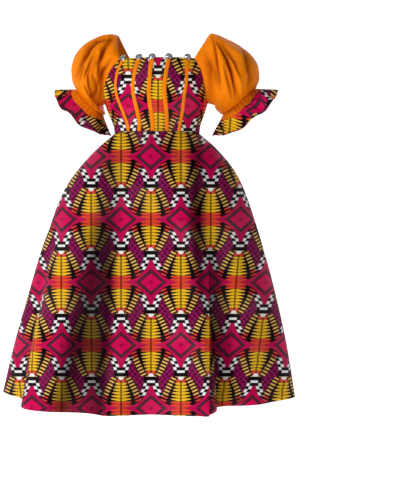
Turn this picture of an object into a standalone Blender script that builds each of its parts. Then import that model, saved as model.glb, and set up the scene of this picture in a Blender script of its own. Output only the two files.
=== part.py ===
"""An ankara wax print midi dress as it is worn: a fitted bodice with a straight neckline, puff sleeves
that end in frills, and a full flared skirt with pockets in its side seams.

Metres, +Z up. The front faces -Y, and +X is on the right of someone who looks at the front. The origin is
midway between the shoulder points, where the wearer carries the dress. Angles go round the body from the
centre front, in degrees, and grow towards +X.
"""

import math

import bmesh
import bpy
from mathutils import Matrix, Vector

# Cloth and seams
CLOTH = 0.0016
SEAM_GAP = 0.0003

# Levels, measured from the shoulder points
NECK_Z = -0.087
BACK_NECK_Z = -0.075
WAIST_Z = -0.318
HEM_Z = -1.172

# The upper body turns a little against the skirt, and the turn grows over this height above the waist
TORSO_TURN = 8.0
TURN_HEIGHT = 0.13
SHOULDER_SWAY = 0.007

# Rings of the bodice, from the neckline to the waist
BODICE_SECTIONS = [
    dict(z=-0.055, half_width=0.158, front=0.088, back=0.098, centre=0.003),
    dict(z=-0.087, half_width=0.167, front=0.104, back=0.106, centre=0.001),
    dict(z=-0.112, half_width=0.173, front=0.121, back=0.110, centre=-0.001),
    dict(z=-0.138, half_width=0.176, front=0.136, back=0.113, centre=-0.002),
    dict(z=-0.168, half_width=0.176, front=0.144, back=0.114, centre=-0.002),
    dict(z=-0.198, half_width=0.172, front=0.140, back=0.111, centre=-0.001),
    dict(z=-0.232, half_width=0.162, front=0.127, back=0.105, centre=0.001),
    dict(z=-0.267, half_width=0.149, front=0.115, back=0.099, centre=0.003),
    dict(z=-0.293, half_width=0.139, front=0.108, back=0.096, centre=0.004),
    dict(z=-0.318, half_width=0.135, front=0.105, back=0.095, centre=0.005),
]

# The seam between bodice and sleeve, from the neckline corner to the underarm. Turn goes round the sleeve,
# and the other angles go round the body, for each side.
ARMHOLE_SEAM = [
    dict(turn=67.5, right=38.5, left=50.0, z=-0.087),
    dict(turn=80, right=43.5, left=54.0, z=-0.101),
    dict(turn=95, right=49.5, left=60.0, z=-0.123),
    dict(turn=115, right=57.0, left=66.0, z=-0.156),
    dict(turn=135, right=64.5, left=71.0, z=-0.187),
    dict(turn=155, right=74.0, left=77.5, z=-0.211),
    dict(turn=180, right=90.0, left=90.0, z=-0.223),
]
BACK_RISE_END = 115
SEAM_STEPS = 15
STRAP_STEPS = 9
SHOULDER_POINTS = {
    "right": Vector((-0.131, 0.012, 0.0)),
    "left": Vector((0.164, 0.012, 0.0)),
}
STRAP_BOW = 0.006
STRAP_DROP = 1.5
SLEEVE_GAP = 0.0005
HOLE_CENTRE = Vector((0.150, 0, -0.080))

# Rings of the skirt, from the waist to the hem
SKIRT_SECTIONS = [
    dict(z=-0.318, half_width=0.135, front=0.105, back=0.095, centre=0.005),
    dict(z=-0.332, half_width=0.151, front=0.119, back=0.111, centre=0.005),
    dict(z=-0.350, half_width=0.173, front=0.143, back=0.137, centre=0.005),
    dict(z=-0.387, half_width=0.210, front=0.177, back=0.173, centre=0.004),
    dict(z=-0.430, half_width=0.246, front=0.208, back=0.206, centre=0.002),
    dict(z=-0.480, half_width=0.277, front=0.235, back=0.235, centre=-0.002),
    dict(z=-0.530, half_width=0.299, front=0.254, back=0.257, centre=-0.005),
    dict(z=-0.580, half_width=0.316, front=0.270, back=0.276, centre=-0.006),
    dict(z=-0.691, half_width=0.351, front=0.298, back=0.306, centre=-0.008),
    dict(z=-0.845, half_width=0.390, front=0.328, back=0.338, centre=-0.010),
    dict(z=-0.998, half_width=0.424, front=0.354, back=0.364, centre=-0.014),
    dict(z=-1.172, half_width=0.453, front=0.374, back=0.384, centre=-0.019),
]

# The skirt's large folds at the hem: out is how far a fold stands out, and top is where it fades out
SKIRT_FOLDS = [
    dict(angle=-112, reach=17, out=0.034, top=-0.42),
    dict(angle=-88, reach=13, out=0.014, top=-0.40),
    dict(angle=-67, reach=13, out=-0.030, top=-0.45),
    dict(angle=-42, reach=20, out=0.046, top=-0.40),
    dict(angle=-26, reach=9, out=-0.012, top=-0.60),
    dict(angle=-13, reach=11, out=0.034, top=-0.50),
    dict(angle=3, reach=12, out=-0.026, top=-0.45),
    dict(angle=20, reach=12, out=0.050, top=-0.45),
    dict(angle=37, reach=13, out=-0.060, top=-0.40),
    dict(angle=60, reach=15, out=-0.016, top=-0.42),
    dict(angle=86, reach=14, out=0.012, top=-0.40),
    dict(angle=108, reach=14, out=-0.028, top=-0.44),
    dict(angle=130, reach=15, out=0.036, top=-0.42),
    dict(angle=152, reach=12, out=-0.030, top=-0.46),
    dict(angle=172, reach=12, out=0.034, top=-0.44),
    dict(angle=-170, reach=9, out=-0.012, top=-0.50),
    dict(angle=-153, reach=12, out=0.026, top=-0.46),
    dict(angle=-133, reach=11, out=-0.026, top=-0.44),
]
FOLD_ROUNDNESS = 2.2
FOLD_GROWTH = 1.15
HEM_LEVELS = [
    dict(angle=-180, z=-1.162),
    dict(angle=-90, z=-1.140),
    dict(angle=-45, z=-1.168),
    dict(angle=20, z=-1.177),
    dict(angle=40, z=-1.162),
    dict(angle=90, z=-1.156),
    dict(angle=180, z=-1.162),
]

# Pockets in the side seams. A bag's two lips lie at these angles from the side seam and this deep inside
# the skirt.
POCKET = dict(top=-0.415, bottom=-0.565, half_gape=0.012)
POCKET_RINGS = [
    dict(front_angle=3.2, front_in=0.0030, back_angle=-3.2, back_in=0.0030, top=-0.411, bottom=-0.569),
    dict(front_angle=5.0, front_in=0.0034, back_angle=-2.8, back_in=0.0150, top=-0.412, bottom=-0.573),
    dict(front_angle=8.5, front_in=0.0040, back_angle=1.5, back_in=0.0270, top=-0.414, bottom=-0.585),
    dict(front_angle=15.0, front_in=0.0042, back_angle=11.0, back_in=0.0300, top=-0.419, bottom=-0.604),
    dict(front_angle=23.0, front_in=0.0045, back_angle=22.0, back_in=0.0270, top=-0.430, bottom=-0.620),
    dict(front_angle=31.0, front_in=0.0050, back_angle=31.0, back_in=0.0190, top=-0.460, bottom=-0.618),
    dict(front_angle=34.0, front_in=0.0060, back_angle=34.0, back_in=0.0130, top=-0.490, bottom=-0.600),
]
POCKET_SIDES = 16

# Rings of each sleeve, by the highest and lowest point of the ring seen from the front. Droop is how far
# its front hangs below its back.
SLEEVE_RINGS = {
    "right": [
        dict(top_x=-0.152, top_z=0.0060, low_x=-0.188, low_z=-0.229, depth=0.079, y=-0.002, droop=0.000),
        dict(top_x=-0.175, top_z=0.0045, low_x=-0.191, low_z=-0.233, depth=0.094, y=0.005, droop=0.003),
        dict(top_x=-0.206, top_z=-0.0100, low_x=-0.190, low_z=-0.237, depth=0.115, y=0.012, droop=0.006),
        dict(top_x=-0.240, top_z=-0.0360, low_x=-0.188, low_z=-0.241, depth=0.122, y=0.014, droop=0.010),
        dict(top_x=-0.268, top_z=-0.0720, low_x=-0.184, low_z=-0.245, depth=0.119, y=0.016, droop=0.014),
        dict(top_x=-0.279, top_z=-0.1080, low_x=-0.180, low_z=-0.249, depth=0.108, y=0.018, droop=0.018),
        dict(top_x=-0.277, top_z=-0.1400, low_x=-0.178, low_z=-0.253, depth=0.091, y=0.020, droop=0.021),
        dict(top_x=-0.269, top_z=-0.1560, low_x=-0.180, low_z=-0.256, depth=0.072, y=0.021, droop=0.023),
        dict(top_x=-0.264, top_z=-0.1700, low_x=-0.190, low_z=-0.260, depth=0.055, y=0.021, droop=0.024),
    ],
    "left": [
        dict(top_x=0.176, top_z=0.0060, low_x=0.188, low_z=-0.229, depth=0.068, y=0.000, droop=0.000),
        dict(top_x=0.194, top_z=0.0045, low_x=0.191, low_z=-0.232, depth=0.095, y=0.005, droop=0.003),
        dict(top_x=0.226, top_z=-0.0090, low_x=0.192, low_z=-0.235, depth=0.118, y=0.012, droop=0.006),
        dict(top_x=0.267, top_z=-0.0290, low_x=0.195, low_z=-0.238, depth=0.127, y=0.012, droop=0.010),
        dict(top_x=0.303, top_z=-0.0610, low_x=0.198, low_z=-0.242, depth=0.127, y=0.013, droop=0.014),
        dict(top_x=0.325, top_z=-0.1030, low_x=0.202, low_z=-0.246, depth=0.117, y=0.015, droop=0.017),
        dict(top_x=0.327, top_z=-0.1410, low_x=0.205, low_z=-0.250, depth=0.099, y=0.017, droop=0.020),
        dict(top_x=0.321, top_z=-0.1600, low_x=0.208, low_z=-0.253, depth=0.078, y=0.018, droop=0.022),
        dict(top_x=0.314, top_z=-0.1760, low_x=0.214, low_z=-0.257, depth=0.060, y=0.018, droop=0.023),
    ],
}
PUFF_GATHERS = dict(count=12, depth=0.0060, least=0.15, inward=0.4, twist=0.5)
SQUARE_UNTIL = 1.5

# Below its elastic each sleeve flares out plain, and a printed frill is sewn to the flare. Each ring is
# placed by how far it lies down the arm, and how far it stands out of the elastic, at its top, its foot and
# its front. Wave is its share of the frill's waves.
CUFF_COLUMNS = (
    "top_down",
    "top_out",
    "foot_down",
    "foot_out",
    "front_down",
    "front_out",
    "wave",
)
FLARE_RINGS = [
    dict(zip(CUFF_COLUMNS, (0.0006, 0.0000, 0.0006, 0.0000, 0.0008, 0.0, 0.0))),
    dict(zip(CUFF_COLUMNS, (0.0070, 0.0050, 0.0050, 0.0070, 0.0110, 0.004, 0.1))),
    dict(zip(CUFF_COLUMNS, (0.0140, 0.0110, 0.0095, 0.0150, 0.0230, 0.009, 0.2))),
]
FRILL_RINGS = [
    dict(zip(CUFF_COLUMNS, (0.0143, 0.0113, 0.0098, 0.0154, 0.0234, 0.0092, 0.2))),
    dict(zip(CUFF_COLUMNS, (0.0270, 0.0210, 0.0165, 0.0310, 0.0400, 0.0170, 0.5))),
    dict(zip(CUFF_COLUMNS, (0.0400, 0.0315, 0.0235, 0.0460, 0.0570, 0.0260, 0.8))),
    dict(zip(CUFF_COLUMNS, (0.0520, 0.0420, 0.0300, 0.0600, 0.0720, 0.0350, 1.0))),
]
FRILL_WAVES = dict(count=8, out=0.0085, along=0.0050, uneven=0.7)
FRILL_SIDES = 48

# Piped strips on the bodice front and the jewelled buttons at their tops, by angle at each height
STRIPS = [
    dict(neck=-34.5, bust=-38.0, under_bust=-39.2, waist=-40.4),
    dict(neck=-14.2, bust=-15.6, under_bust=-18.2, waist=-23.0),
    dict(neck=0.4, bust=1.4, under_bust=-1.6, waist=-4.7),
    dict(neck=18.3, bust=17.2, under_bust=16.0, waist=14.2),
    dict(neck=40.4, bust=40.5, under_bust=36.8, waist=31.6),
]
STRIP_LEVELS = dict(bust=-0.160, under_bust=-0.242)
STRIP_HALF_WIDTH = 0.0056
STRIP_THICK = 0.0014
STRIP_LIFT = 0.0006
BUTTON_PROFILE = [
    dict(radius=0.0000, height=0.0000),
    dict(radius=0.0085, height=0.0000),
    dict(radius=0.0100, height=0.0012),
    dict(radius=0.0097, height=0.0028),
    dict(radius=0.0074, height=0.0034),
    dict(radius=0.0052, height=0.0058),
    dict(radius=0.0000, height=0.0062),
]
BUTTON_SIDES = 12
BUTTON_LIFT = 0.0009

# The concealed zip's tape, inside the centre back seam, by how deep it lies behind the cloth's outer face
ZIP = dict(half_width=0.0110, thick=0.0010)
ZIP_LEVELS = [
    dict(z=-0.079, depth=0.0024),
    dict(z=-0.110, depth=0.0028),
    dict(z=-0.145, depth=0.0028),
    dict(z=-0.180, depth=0.0028),
    dict(z=-0.215, depth=0.0028),
    dict(z=-0.250, depth=0.0028),
    dict(z=-0.285, depth=0.0028),
    dict(z=-0.310, depth=0.0036),
    dict(z=-0.326, depth=0.0090),
    dict(z=-0.350, depth=0.0080),
    dict(z=-0.387, depth=0.0080),
    dict(z=-0.430, depth=0.0060),
    dict(z=-0.480, depth=0.0050),
    dict(z=-0.520, depth=0.0050),
]

BODICE_ROWS = 9
FRONT_STEPS = 12
BACK_STEPS = 7
SKIRT_FRONT_STEPS = 42
SKIRT_BACK_STEPS = 21

COLOURS = {
    "wax_print": dict(colour=(0.62, 0.05, 0.19), roughness=0.75, metallic=0.0),
    "plain_orange": dict(colour=(0.88, 0.27, 0.02), roughness=0.55, metallic=0.0),
    "jewel": dict(colour=(0.62, 0.62, 0.66), roughness=0.15, metallic=0.9),
}


def column(table, name, at, by="z"):
    """A table's column at a value of another column, on a smooth curve that never overshoots its rows."""
    rows = sorted(table, key=lambda row: row[by])
    places = [row[by] for row in rows]
    values = [row[name] for row in rows]
    last = len(rows) - 1
    steps = [(values[i + 1] - values[i]) / (places[i + 1] - places[i]) for i in range(last)]

    def slope(i):
        if i in (0, last):
            return steps[min(i, last - 1)]
        before, after = steps[i - 1], steps[i]
        return 0.0 if before * after <= 0 else 2 * before * after / (before + after)

    if at <= places[0]:
        return values[0] + slope(0) * (at - places[0])
    if at >= places[last]:
        return values[last] + slope(last) * (at - places[last])
    i = max(k for k in range(last) if places[k] <= at)
    width = places[i + 1] - places[i]
    t = (at - places[i]) / width
    rise = (3 - 2 * t) * t * t
    return (
        values[i] * (1 - rise)
        + values[i + 1] * rise
        + width * t * (1 - t) * ((1 - t) * slope(i) - t * slope(i + 1))
    )


def ease(t):
    """Runs smoothly from 0 to 1."""
    t = min(1.0, max(0.0, t))
    return t * t * (3 - 2 * t)


def posed(point):
    """A point of the upper body after it has turned and swayed against the skirt."""
    share = ease((point.z - WAIST_Z) / TURN_HEIGHT)
    turned = Matrix.Rotation(-math.radians(TORSO_TURN) * share, 3, "Z") @ point
    turned.x += SHOULDER_SWAY * ease((point.z - WAIST_Z) / -WAIST_Z)
    return turned


def oval(sections, angle, z):
    """A point of an oval ring whose front and back may differ in depth."""
    turn = math.radians(angle)
    depth = column(sections, "front" if math.cos(turn) > 0 else "back", z)
    x = column(sections, "centre", z) + column(sections, "half_width", z) * math.sin(turn)
    return Vector((x, -depth * math.cos(turn), z))


def torso(angle, z):
    return oval(BODICE_SECTIONS, angle, z)


def skirt(angle, z):
    """A point of the skirt's outer face, with its folds and uneven hem."""
    angle = (angle + 180) % 360 - 180
    plain = oval(SKIRT_SECTIONS, angle, z)
    out = 0.0
    for fold in SKIRT_FOLDS:
        away = abs((angle - fold["angle"] + 180) % 360 - 180) / fold["reach"]
        if away < 2:
            share = max(0.0, (fold["top"] - z) / (fold["top"] - HEM_Z))
            out += fold["out"] * math.exp(-FOLD_ROUNDNESS * away * away) * share**FOLD_GROWTH
    outward = Vector((plain.x - column(SKIRT_SECTIONS, "centre", z), plain.y, 0)).normalized()
    low = max(0.0, (WAIST_Z - z) / (WAIST_Z - HEM_Z))
    lift = (column(HEM_LEVELS, "z", angle, "angle") - HEM_Z) * low**3
    return plain + outward * out + Vector((0, 0, lift))


def normal_of(surface, u, v, step=1e-3):
    """The outward normal of a surface, which points away from its inside."""
    across = surface(u + step, v) - surface(u - step, v)
    along = surface(u, v + step) - surface(u, v - step)
    return across.cross(along).normalized()


def material(name):
    made = bpy.data.materials.get(name)
    if made is None:
        made = bpy.data.materials.new(name)
        made.use_nodes = True
        shader = made.node_tree.nodes["Principled BSDF"]
        shader.inputs["Base Color"].default_value = (*COLOURS[name]["colour"], 1)
        shader.inputs["Roughness"].default_value = COLOURS[name]["roughness"]
        shader.inputs["Metallic"].default_value = COLOURS[name]["metallic"]
        made.diffuse_color = (*COLOURS[name]["colour"], 1)
    return made


def finish(name, mesh, finish_name):
    """Makes a mesh into an object, with its faces outwards."""
    bmesh.ops.recalc_face_normals(mesh, faces=mesh.faces)
    data = bpy.data.meshes.new(name)
    mesh.to_mesh(data)
    mesh.free()
    data.materials.append(material(finish_name))
    data.shade_smooth()
    made = bpy.data.objects.new(name, data)
    bpy.context.collection.objects.link(made)
    return made


def layer(mesh, rows, closed):
    """One face of a wall, through rows of points."""
    made = [[mesh.verts.new(point) for point in row] for row in rows]
    for low, high in zip(made, made[1:]):
        for k in range(len(low) if closed else len(low) - 1):
            after = (k + 1) % len(low)
            mesh.faces.new((low[k], low[after], high[after], high[k]))
    return made


def rim(mesh, outer, inner, closed=False):
    """Joins the edges of the two faces of a wall."""
    for k in range(len(outer) if closed else len(outer) - 1):
        after = (k + 1) % len(outer)
        mesh.faces.new((outer[k], outer[after], inner[after], inner[k]))


def wall(name, outer_rows, inner_rows, finish_name, closed=False, blind=False):
    """A wall of cloth between two faces. A closed wall is a tube, and a blind one is shut at its end."""
    mesh = bmesh.new()
    outer = layer(mesh, outer_rows, closed)
    inner = layer(mesh, inner_rows, closed)
    rim(mesh, outer[0], inner[0], closed)
    if blind:
        mesh.faces.new(outer[-1])
        mesh.faces.new(inner[-1])
    else:
        rim(mesh, outer[-1], inner[-1], closed)
    if not closed:
        rim(mesh, [row[0] for row in outer], [row[0] for row in inner])
        rim(mesh, [row[-1] for row in outer], [row[-1] for row in inner])
    return finish(name, mesh, finish_name)


def cloth_rows(surface, rows, thick=CLOTH):
    """The outer and inner points of a wall, over rows of (u, v) places on a surface."""
    outer = [[surface(u, v) for u, v in row] for row in rows]
    inner = [
        [surface(u, v) - normal_of(surface, u, v) * thick for u, v in row] for row in rows
    ]
    return outer, inner


def spread(first, last, steps):
    return [first + (last - first) * k / steps for k in range(steps + 1)]


def side_name(side):
    """The wearer's left is towards +X."""
    return "left" if side > 0 else "right"


def seam_places(side):
    """(turn, angle, z) down the sleeve seam, evenly in turn, from the neckline corner to the underarm."""
    turns = spread(ARMHOLE_SEAM[0]["turn"], ARMHOLE_SEAM[-1]["turn"], SEAM_STEPS)
    return [(turn, *seam_place(turn, side)) for turn in turns]


def seam_place(turn, side, behind=False):
    """The angle and height of the sleeve seam, whose back half rises to the back neckline."""
    angle = column(ARMHOLE_SEAM, side_name(side), turn, "turn")
    z = column(ARMHOLE_SEAM, "z", turn, "turn")
    if behind:
        angle = 180 - angle
        rise = (BACK_RISE_END - turn) / (BACK_RISE_END - ARMHOLE_SEAM[0]["turn"])
        z += (BACK_NECK_Z - NECK_Z) * ease(rise)
    return angle * side, z


def seam_half_angle(z):
    """The angle that half a seam's gap takes at the side of the body."""
    return math.degrees(SEAM_GAP / 2 / column(BODICE_SECTIONS, "front", z))


def bodice_surface(angle, z):
    return posed(torso(angle, z))


def bodice_panel(name, angles, tops):
    """A bodice panel between the waist and its top edge."""
    rows = []
    for share in spread(0, 1, BODICE_ROWS):
        rows.append([(angle, WAIST_Z + (top - WAIST_Z) * share) for angle, top in zip(angles, tops)])
    return wall(name, *cloth_rows(bodice_surface, rows), "wax_print")


def bodice():
    """The front and the two backs, which meet at the sides below the underarms and at the centre back."""
    turns = [turn for turn, _, _ in seam_places(1)]
    front = {side: [seam_place(turn, side) for turn in turns] for side in (-1, 1)}
    back = {side: [seam_place(turn, side, behind=True) for turn in turns] for side in (-1, 1)}
    gap = seam_half_angle(front[1][-1][1])
    for side in (-1, 1):
        front[side][-1] = (side * (90 - gap), front[side][-1][1])
        back[side][-1] = (side * (90 + gap), back[side][-1][1])
    middle = [(angle, NECK_Z) for angle in spread(front[-1][0][0], front[1][0][0], FRONT_STEPS)][1:-1]
    angles, tops = zip(*front[-1][::-1], *middle, *front[1])
    bodice_panel("bodice_front", angles, tops)
    for side in (-1, 1):
        across = spread(back[side][0][0], side * (180 - gap), BACK_STEPS)[1:]
        places = back[side][::-1] + [(angle, BACK_NECK_Z) for angle in across]
        angles, tops = zip(*places[::side])
        bodice_panel("bodice_back_" + side_name(side), angles, tops)


def armhole(turn, side):
    """A point of a sleeve's first ring, which follows the bodice's edge below the neckline's corners and
    runs over the shoulder between them."""
    turn %= 360
    behind = turn > 180
    turn = 360 - turn if behind else turn
    corner_turn = ARMHOLE_SEAM[0]["turn"]

    def edge(at):
        angle, z = seam_place(at, side, behind)
        here = torso(angle, z)
        outward = normal_of(torso, angle, z)
        along = torso(*seam_place(at + 1, side, behind)) - torso(*seam_place(at - 1, side, behind))
        off = along.normalized().cross(outward).normalized()
        if off.dot(HOLE_CENTRE * Vector((side, 1, 1)) - here) < 0:
            off = -off
        return here + off * SLEEVE_GAP

    if turn >= corner_turn:
        return edge(turn)
    corner = edge(corner_turn)
    shoulder = SHOULDER_POINTS[side_name(side)]
    share = turn / corner_turn
    point = shoulder.lerp(corner, share)
    point.z = shoulder.z + (corner.z - shoulder.z) * share**STRAP_DROP
    point.x += side * STRAP_BOW * math.sin(math.pi * share)
    return point


def sleeve_turns():
    """Turns round a sleeve whose places on the seam are the bodice panels' own."""
    corner = ARMHOLE_SEAM[0]["turn"]
    half = spread(0, corner, STRAP_STEPS) + spread(corner, 180, SEAM_STEPS)[1:]
    return half + [360 - turn for turn in reversed(half[1:-1])]


def ring_point(ring, turn):
    """A point of an oval ring given by its highest and lowest points, seen from the front."""
    top = Vector((ring["top_x"], ring["y"], ring["top_z"]))
    low = Vector((ring["low_x"], ring["y"], ring["low_z"]))
    forward = math.sin(math.radians(turn))
    point = (top + low) / 2 + (top - low) / 2 * math.cos(math.radians(turn))
    point.y -= ring["depth"] * forward
    point.z -= ring["droop"] * max(0, forward) ** 1.5
    return point


def puff(rings, side):
    """The plain surface of a puff sleeve: u is the turn in degrees, and v is 0 at the armhole and grows by
    one at each ring."""
    table = [dict(ring, v=k + 1) for k, ring in enumerate(rings)]

    def surface(turn, v):
        ring = {key: column(table, key, max(v, 1), "v") for key in rings[0]}
        out = ring_point(ring, turn)
        return out if v >= 1 else armhole(turn, side).lerp(out, v)

    return surface


def puff_normal(surface, u, v):
    """The way the gathers stand out. Near the armhole it turns square to the cloth that leaves the seam."""
    normal = normal_of(surface, u, max(v, SQUARE_UNTIL))
    if v < SQUARE_UNTIL:
        leaving = (surface(u, 1) - surface(u, 0)).normalized()
        square = (normal - leaving * normal.dot(leaving)).normalized()
        normal = square.lerp(normal, v / SQUARE_UNTIL).normalized()
    return normal


def gathers(turn, v, last):
    """How far the gathers of a puff stand out of its plain surface. They are least at the underarm."""
    swell = math.sin(math.pi * min(v / last, 1)) ** 0.7
    reach = PUFF_GATHERS["least"] + (1 - PUFF_GATHERS["least"]) * math.cos(math.radians(turn / 2)) ** 2
    wave = math.cos(math.radians(turn * PUFF_GATHERS["count"]) + PUFF_GATHERS["twist"] * math.sin(v))
    return PUFF_GATHERS["depth"] * swell * reach * (wave - PUFF_GATHERS["inward"])


def sleeves():
    for name, side in (("right", -1), ("left", 1)):
        rings = SLEEVE_RINGS[name]
        bare = puff(rings, side)

        def surface(u, v):
            return posed(bare(u * side, v))

        outer, inner = [], []
        for v in [0, 0.5, *range(1, len(rings) + 1)]:
            points = [surface(turn * side, v) for turn in sleeve_turns()]
            normals = [puff_normal(surface, turn * side, v) for turn in sleeve_turns()]
            stands = [gathers(turn, v, len(rings)) for turn in sleeve_turns()]
            outer.append([p + n * out for p, n, out in zip(points, normals, stands)])
            inner.append([p + n * (out - CLOTH) for p, n, out in zip(points, normals, stands)])
        wall("sleeve_" + name, outer, inner, "plain_orange", closed=True)
        cuff(name, rings[-1])


def cuff_surface(last, rings):
    """The surface of a part of a cuff: u is the turn in degrees and v runs over its rings, down the arm."""
    top = Vector((last["top_x"], 0, last["top_z"]))
    low = Vector((last["low_x"], 0, last["low_z"]))
    up = (top - low).normalized()
    down_arm = up.cross(Vector((0, 1, 0)))
    if down_arm.z > 0:
        down_arm = -down_arm
    table = [dict(ring, v=k) for k, ring in enumerate(rings)]

    def surface(turn, v):
        ring = {key: column(table, key, v, "v") for key in rings[0]}
        radians = math.radians(turn)
        end = "top" if math.cos(radians) > 0 else "foot"
        beside = abs(math.cos(radians)) ** 1.5
        phase = math.radians(turn * FRILL_WAVES["count"]) + FRILL_WAVES["uneven"] * math.sin(radians)
        swing = ring["wave"] * math.cos(phase)
        reach = ring["front_down"] + (ring[end + "_down"] - ring["front_down"]) * beside
        wide = up * ring[end + "_out"] * math.cos(radians)
        deep = Vector((0, -ring["front_out"] * math.sin(radians), 0))
        radial = (up * math.cos(radians) + Vector((0, -math.sin(radians), 0))).normalized()
        stand = radial * FRILL_WAVES["out"] * swing
        down = down_arm * (reach - FRILL_WAVES["along"] * swing)
        return ring_point(last, turn) + wide + deep + stand + down

    return surface


def cuff(name, last):
    """The plain flare below a sleeve's elastic, and the printed frill sewn to it."""
    side = 1 if last["top_x"] > 0 else -1
    for part_name, rings, finish_name in (
        ("cuff_flare_" + name, FLARE_RINGS, "plain_orange"),
        ("cuff_frill_" + name, FRILL_RINGS, "wax_print"),
    ):
        bare = cuff_surface(last, rings)

        def surface(u, v):
            return posed(bare(u * side, v))

        turns = [side * 360 * k / FRILL_SIDES for k in range(FRILL_SIDES)]
        rows = [[(turn, v) for turn in turns] for v in range(len(rings))]
        wall(part_name, *cloth_rows(surface, rows), finish_name, closed=True)


def slit(z):
    """Half the gap of a side seam, which gapes at the pocket."""
    share = (POCKET["top"] - z) / (POCKET["top"] - POCKET["bottom"])
    gape = POCKET["half_gape"] * math.sin(math.pi * share) ** 0.8 if 0 < share < 1 else 0.0
    return SEAM_GAP / 2 + gape


def skirt_panel(name, first, last, steps):
    """A skirt panel between two seams, each at 90 or 180 degrees."""
    rows = []
    for section in SKIRT_SECTIONS:
        z = section["z"] - (SEAM_GAP if section is SKIRT_SECTIONS[0] else 0)
        ends = []
        for end, inward in ((first, 1), (last, -1)):
            at_side = abs(abs(end) - 90) < 1
            gap = slit(z) if at_side else SEAM_GAP / 2
            around = section["front"] if at_side else section["half_width"]
            ends.append(end + inward * math.degrees(gap / around))
        rows.append([(angle, z) for angle in spread(*ends, steps)])
    outer, inner = cloth_rows(skirt, rows)
    return wall(name, outer, inner, "wax_print")


def skirts():
    skirt_panel("skirt_front", -90, 90, SKIRT_FRONT_STEPS)
    skirt_panel("skirt_back_left", 90, 180, SKIRT_BACK_STEPS)
    skirt_panel("skirt_back_right", 180, 270, SKIRT_BACK_STEPS)


def pocket_rows(side, grow):
    """Rings of a pocket bag, from its mouth behind the side seam to its blind end."""
    rows = []
    for ring in POCKET_RINGS:
        middle, half_height = (ring["top"] + ring["bottom"]) / 2, (ring["top"] - ring["bottom"]) / 2
        around = column(SKIRT_SECTIONS, "front", middle)
        front = Vector((math.radians(ring["front_angle"]) * around, ring["front_in"]))
        back = Vector((math.radians(ring["back_angle"]) * around, ring["back_in"]))
        across = (back - front).normalized()
        points = []
        for k in range(POCKET_SIDES):
            turn = 2 * math.pi * k / POCKET_SIDES
            z = middle + (half_height + grow) * math.cos(turn)
            swing = math.copysign(abs(math.sin(turn)) ** 0.7, math.sin(turn))
            at = (front + back) / 2 + across * ((back - front).length / 2 + grow) * swing
            angle = side * (90 - math.degrees(at.x / around))
            points.append(skirt(angle, z) - normal_of(skirt, angle, z) * at.y)
        rows.append(points)
    return rows


def pockets():
    for name, side in (("right", -1), ("left", 1)):
        outer = pocket_rows(side, CLOTH / 2)
        inner = pocket_rows(side, -CLOTH / 2)
        ends = zip(inner[-1], inner[-2])
        inner[-1] = [end + (before - end).normalized() * CLOTH for end, before in ends]
        wall("pocket_" + name, outer, inner, "wax_print", closed=True, blind=True)


def zip_tape():
    """The tape of the concealed zip, inside the bodice backs and the top of the skirt backs."""
    outer, inner = [], []
    for level in reversed(ZIP_LEVELS):
        z = level["z"]
        sections = BODICE_SECTIONS if z > WAIST_Z else SKIRT_SECTIONS
        half_angle = math.degrees(ZIP["half_width"] / column(sections, "back", z))
        row = [oval(sections, 180 + half_angle * part, z) for part in (-1, 0, 1)]
        outer.append([posed(point - Vector((0, level["depth"], 0))) for point in row])
        inner.append([posed(point - Vector((0, level["depth"] + ZIP["thick"], 0))) for point in row])
    wall("zip", outer, inner, "plain_orange")


def strip_angle(strip, z):
    """Where a strip's middle lies round the body at a height."""
    table = [
        dict(z=NECK_Z, angle=strip["neck"]),
        dict(z=STRIP_LEVELS["bust"], angle=strip["bust"]),
        dict(z=STRIP_LEVELS["under_bust"], angle=strip["under_bust"]),
        dict(z=WAIST_Z, angle=strip["waist"]),
    ]
    return column(table, "angle", z)


def strips_and_buttons():
    for k, strip in enumerate(STRIPS, start=1):
        outer, inner = [], []
        for share in spread(0, 1, BODICE_ROWS):
            z = WAIST_Z + 0.0002 + (NECK_Z - WAIST_Z) * share
            angle = strip_angle(strip, z)
            half = math.degrees(STRIP_HALF_WIDTH / torso(angle, z).to_2d().length)
            across = [angle - half, angle, angle + half]
            points = [bodice_surface(a, z) for a in across]
            normals = [normal_of(bodice_surface, a, z) for a in across]
            inner.append([p + n * STRIP_LIFT for p, n in zip(points, normals)])
            outer.append([p + n * (STRIP_LIFT + STRIP_THICK) for p, n in zip(points, normals)])
        wall(f"strip_{k}", outer, inner, "plain_orange")
        button(k, strip_angle(strip, NECK_Z))


def button(number, angle):
    """A round jewelled button, turned from its profile, that sits on the top of a strip."""
    normal = normal_of(bodice_surface, angle, NECK_Z)
    seat = bodice_surface(angle, NECK_Z) + normal * (STRIP_LIFT + STRIP_THICK + BUTTON_LIFT)
    mesh = bmesh.new()
    verts = [mesh.verts.new((row["radius"], 0, row["height"])) for row in BUTTON_PROFILE]
    edges = [mesh.edges.new(pair) for pair in zip(verts, verts[1:])]
    bmesh.ops.spin(
        mesh,
        geom=verts + edges,
        axis=(0, 0, 1),
        cent=(0, 0, 0),
        angle=math.tau,
        steps=BUTTON_SIDES,
        use_merge=True,
    )
    bmesh.ops.remove_doubles(mesh, verts=mesh.verts, dist=1e-6)
    made = finish(f"button_{number}", mesh, "jewel")
    made.rotation_mode = "QUATERNION"
    made.rotation_quaternion = normal.to_track_quat("Z", "Y")
    made.location = seat


def main():
    for leftover in list(bpy.data.objects):
        bpy.data.objects.remove(leftover)
    bodice()
    sleeves()
    skirts()
    pockets()
    zip_tape()
    strips_and_buttons()


main()
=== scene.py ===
"""Dresses the frame of an ankara wax print midi dress: its printed and plain cloth, strips, buttons and zip.

Metres, +Z up, and the front faces -Y. Angles go round the body from the centre front, in degrees, and grow
towards +X, the wearer's left. A sleeve's turn goes round it from its top over its front.
"""

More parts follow.
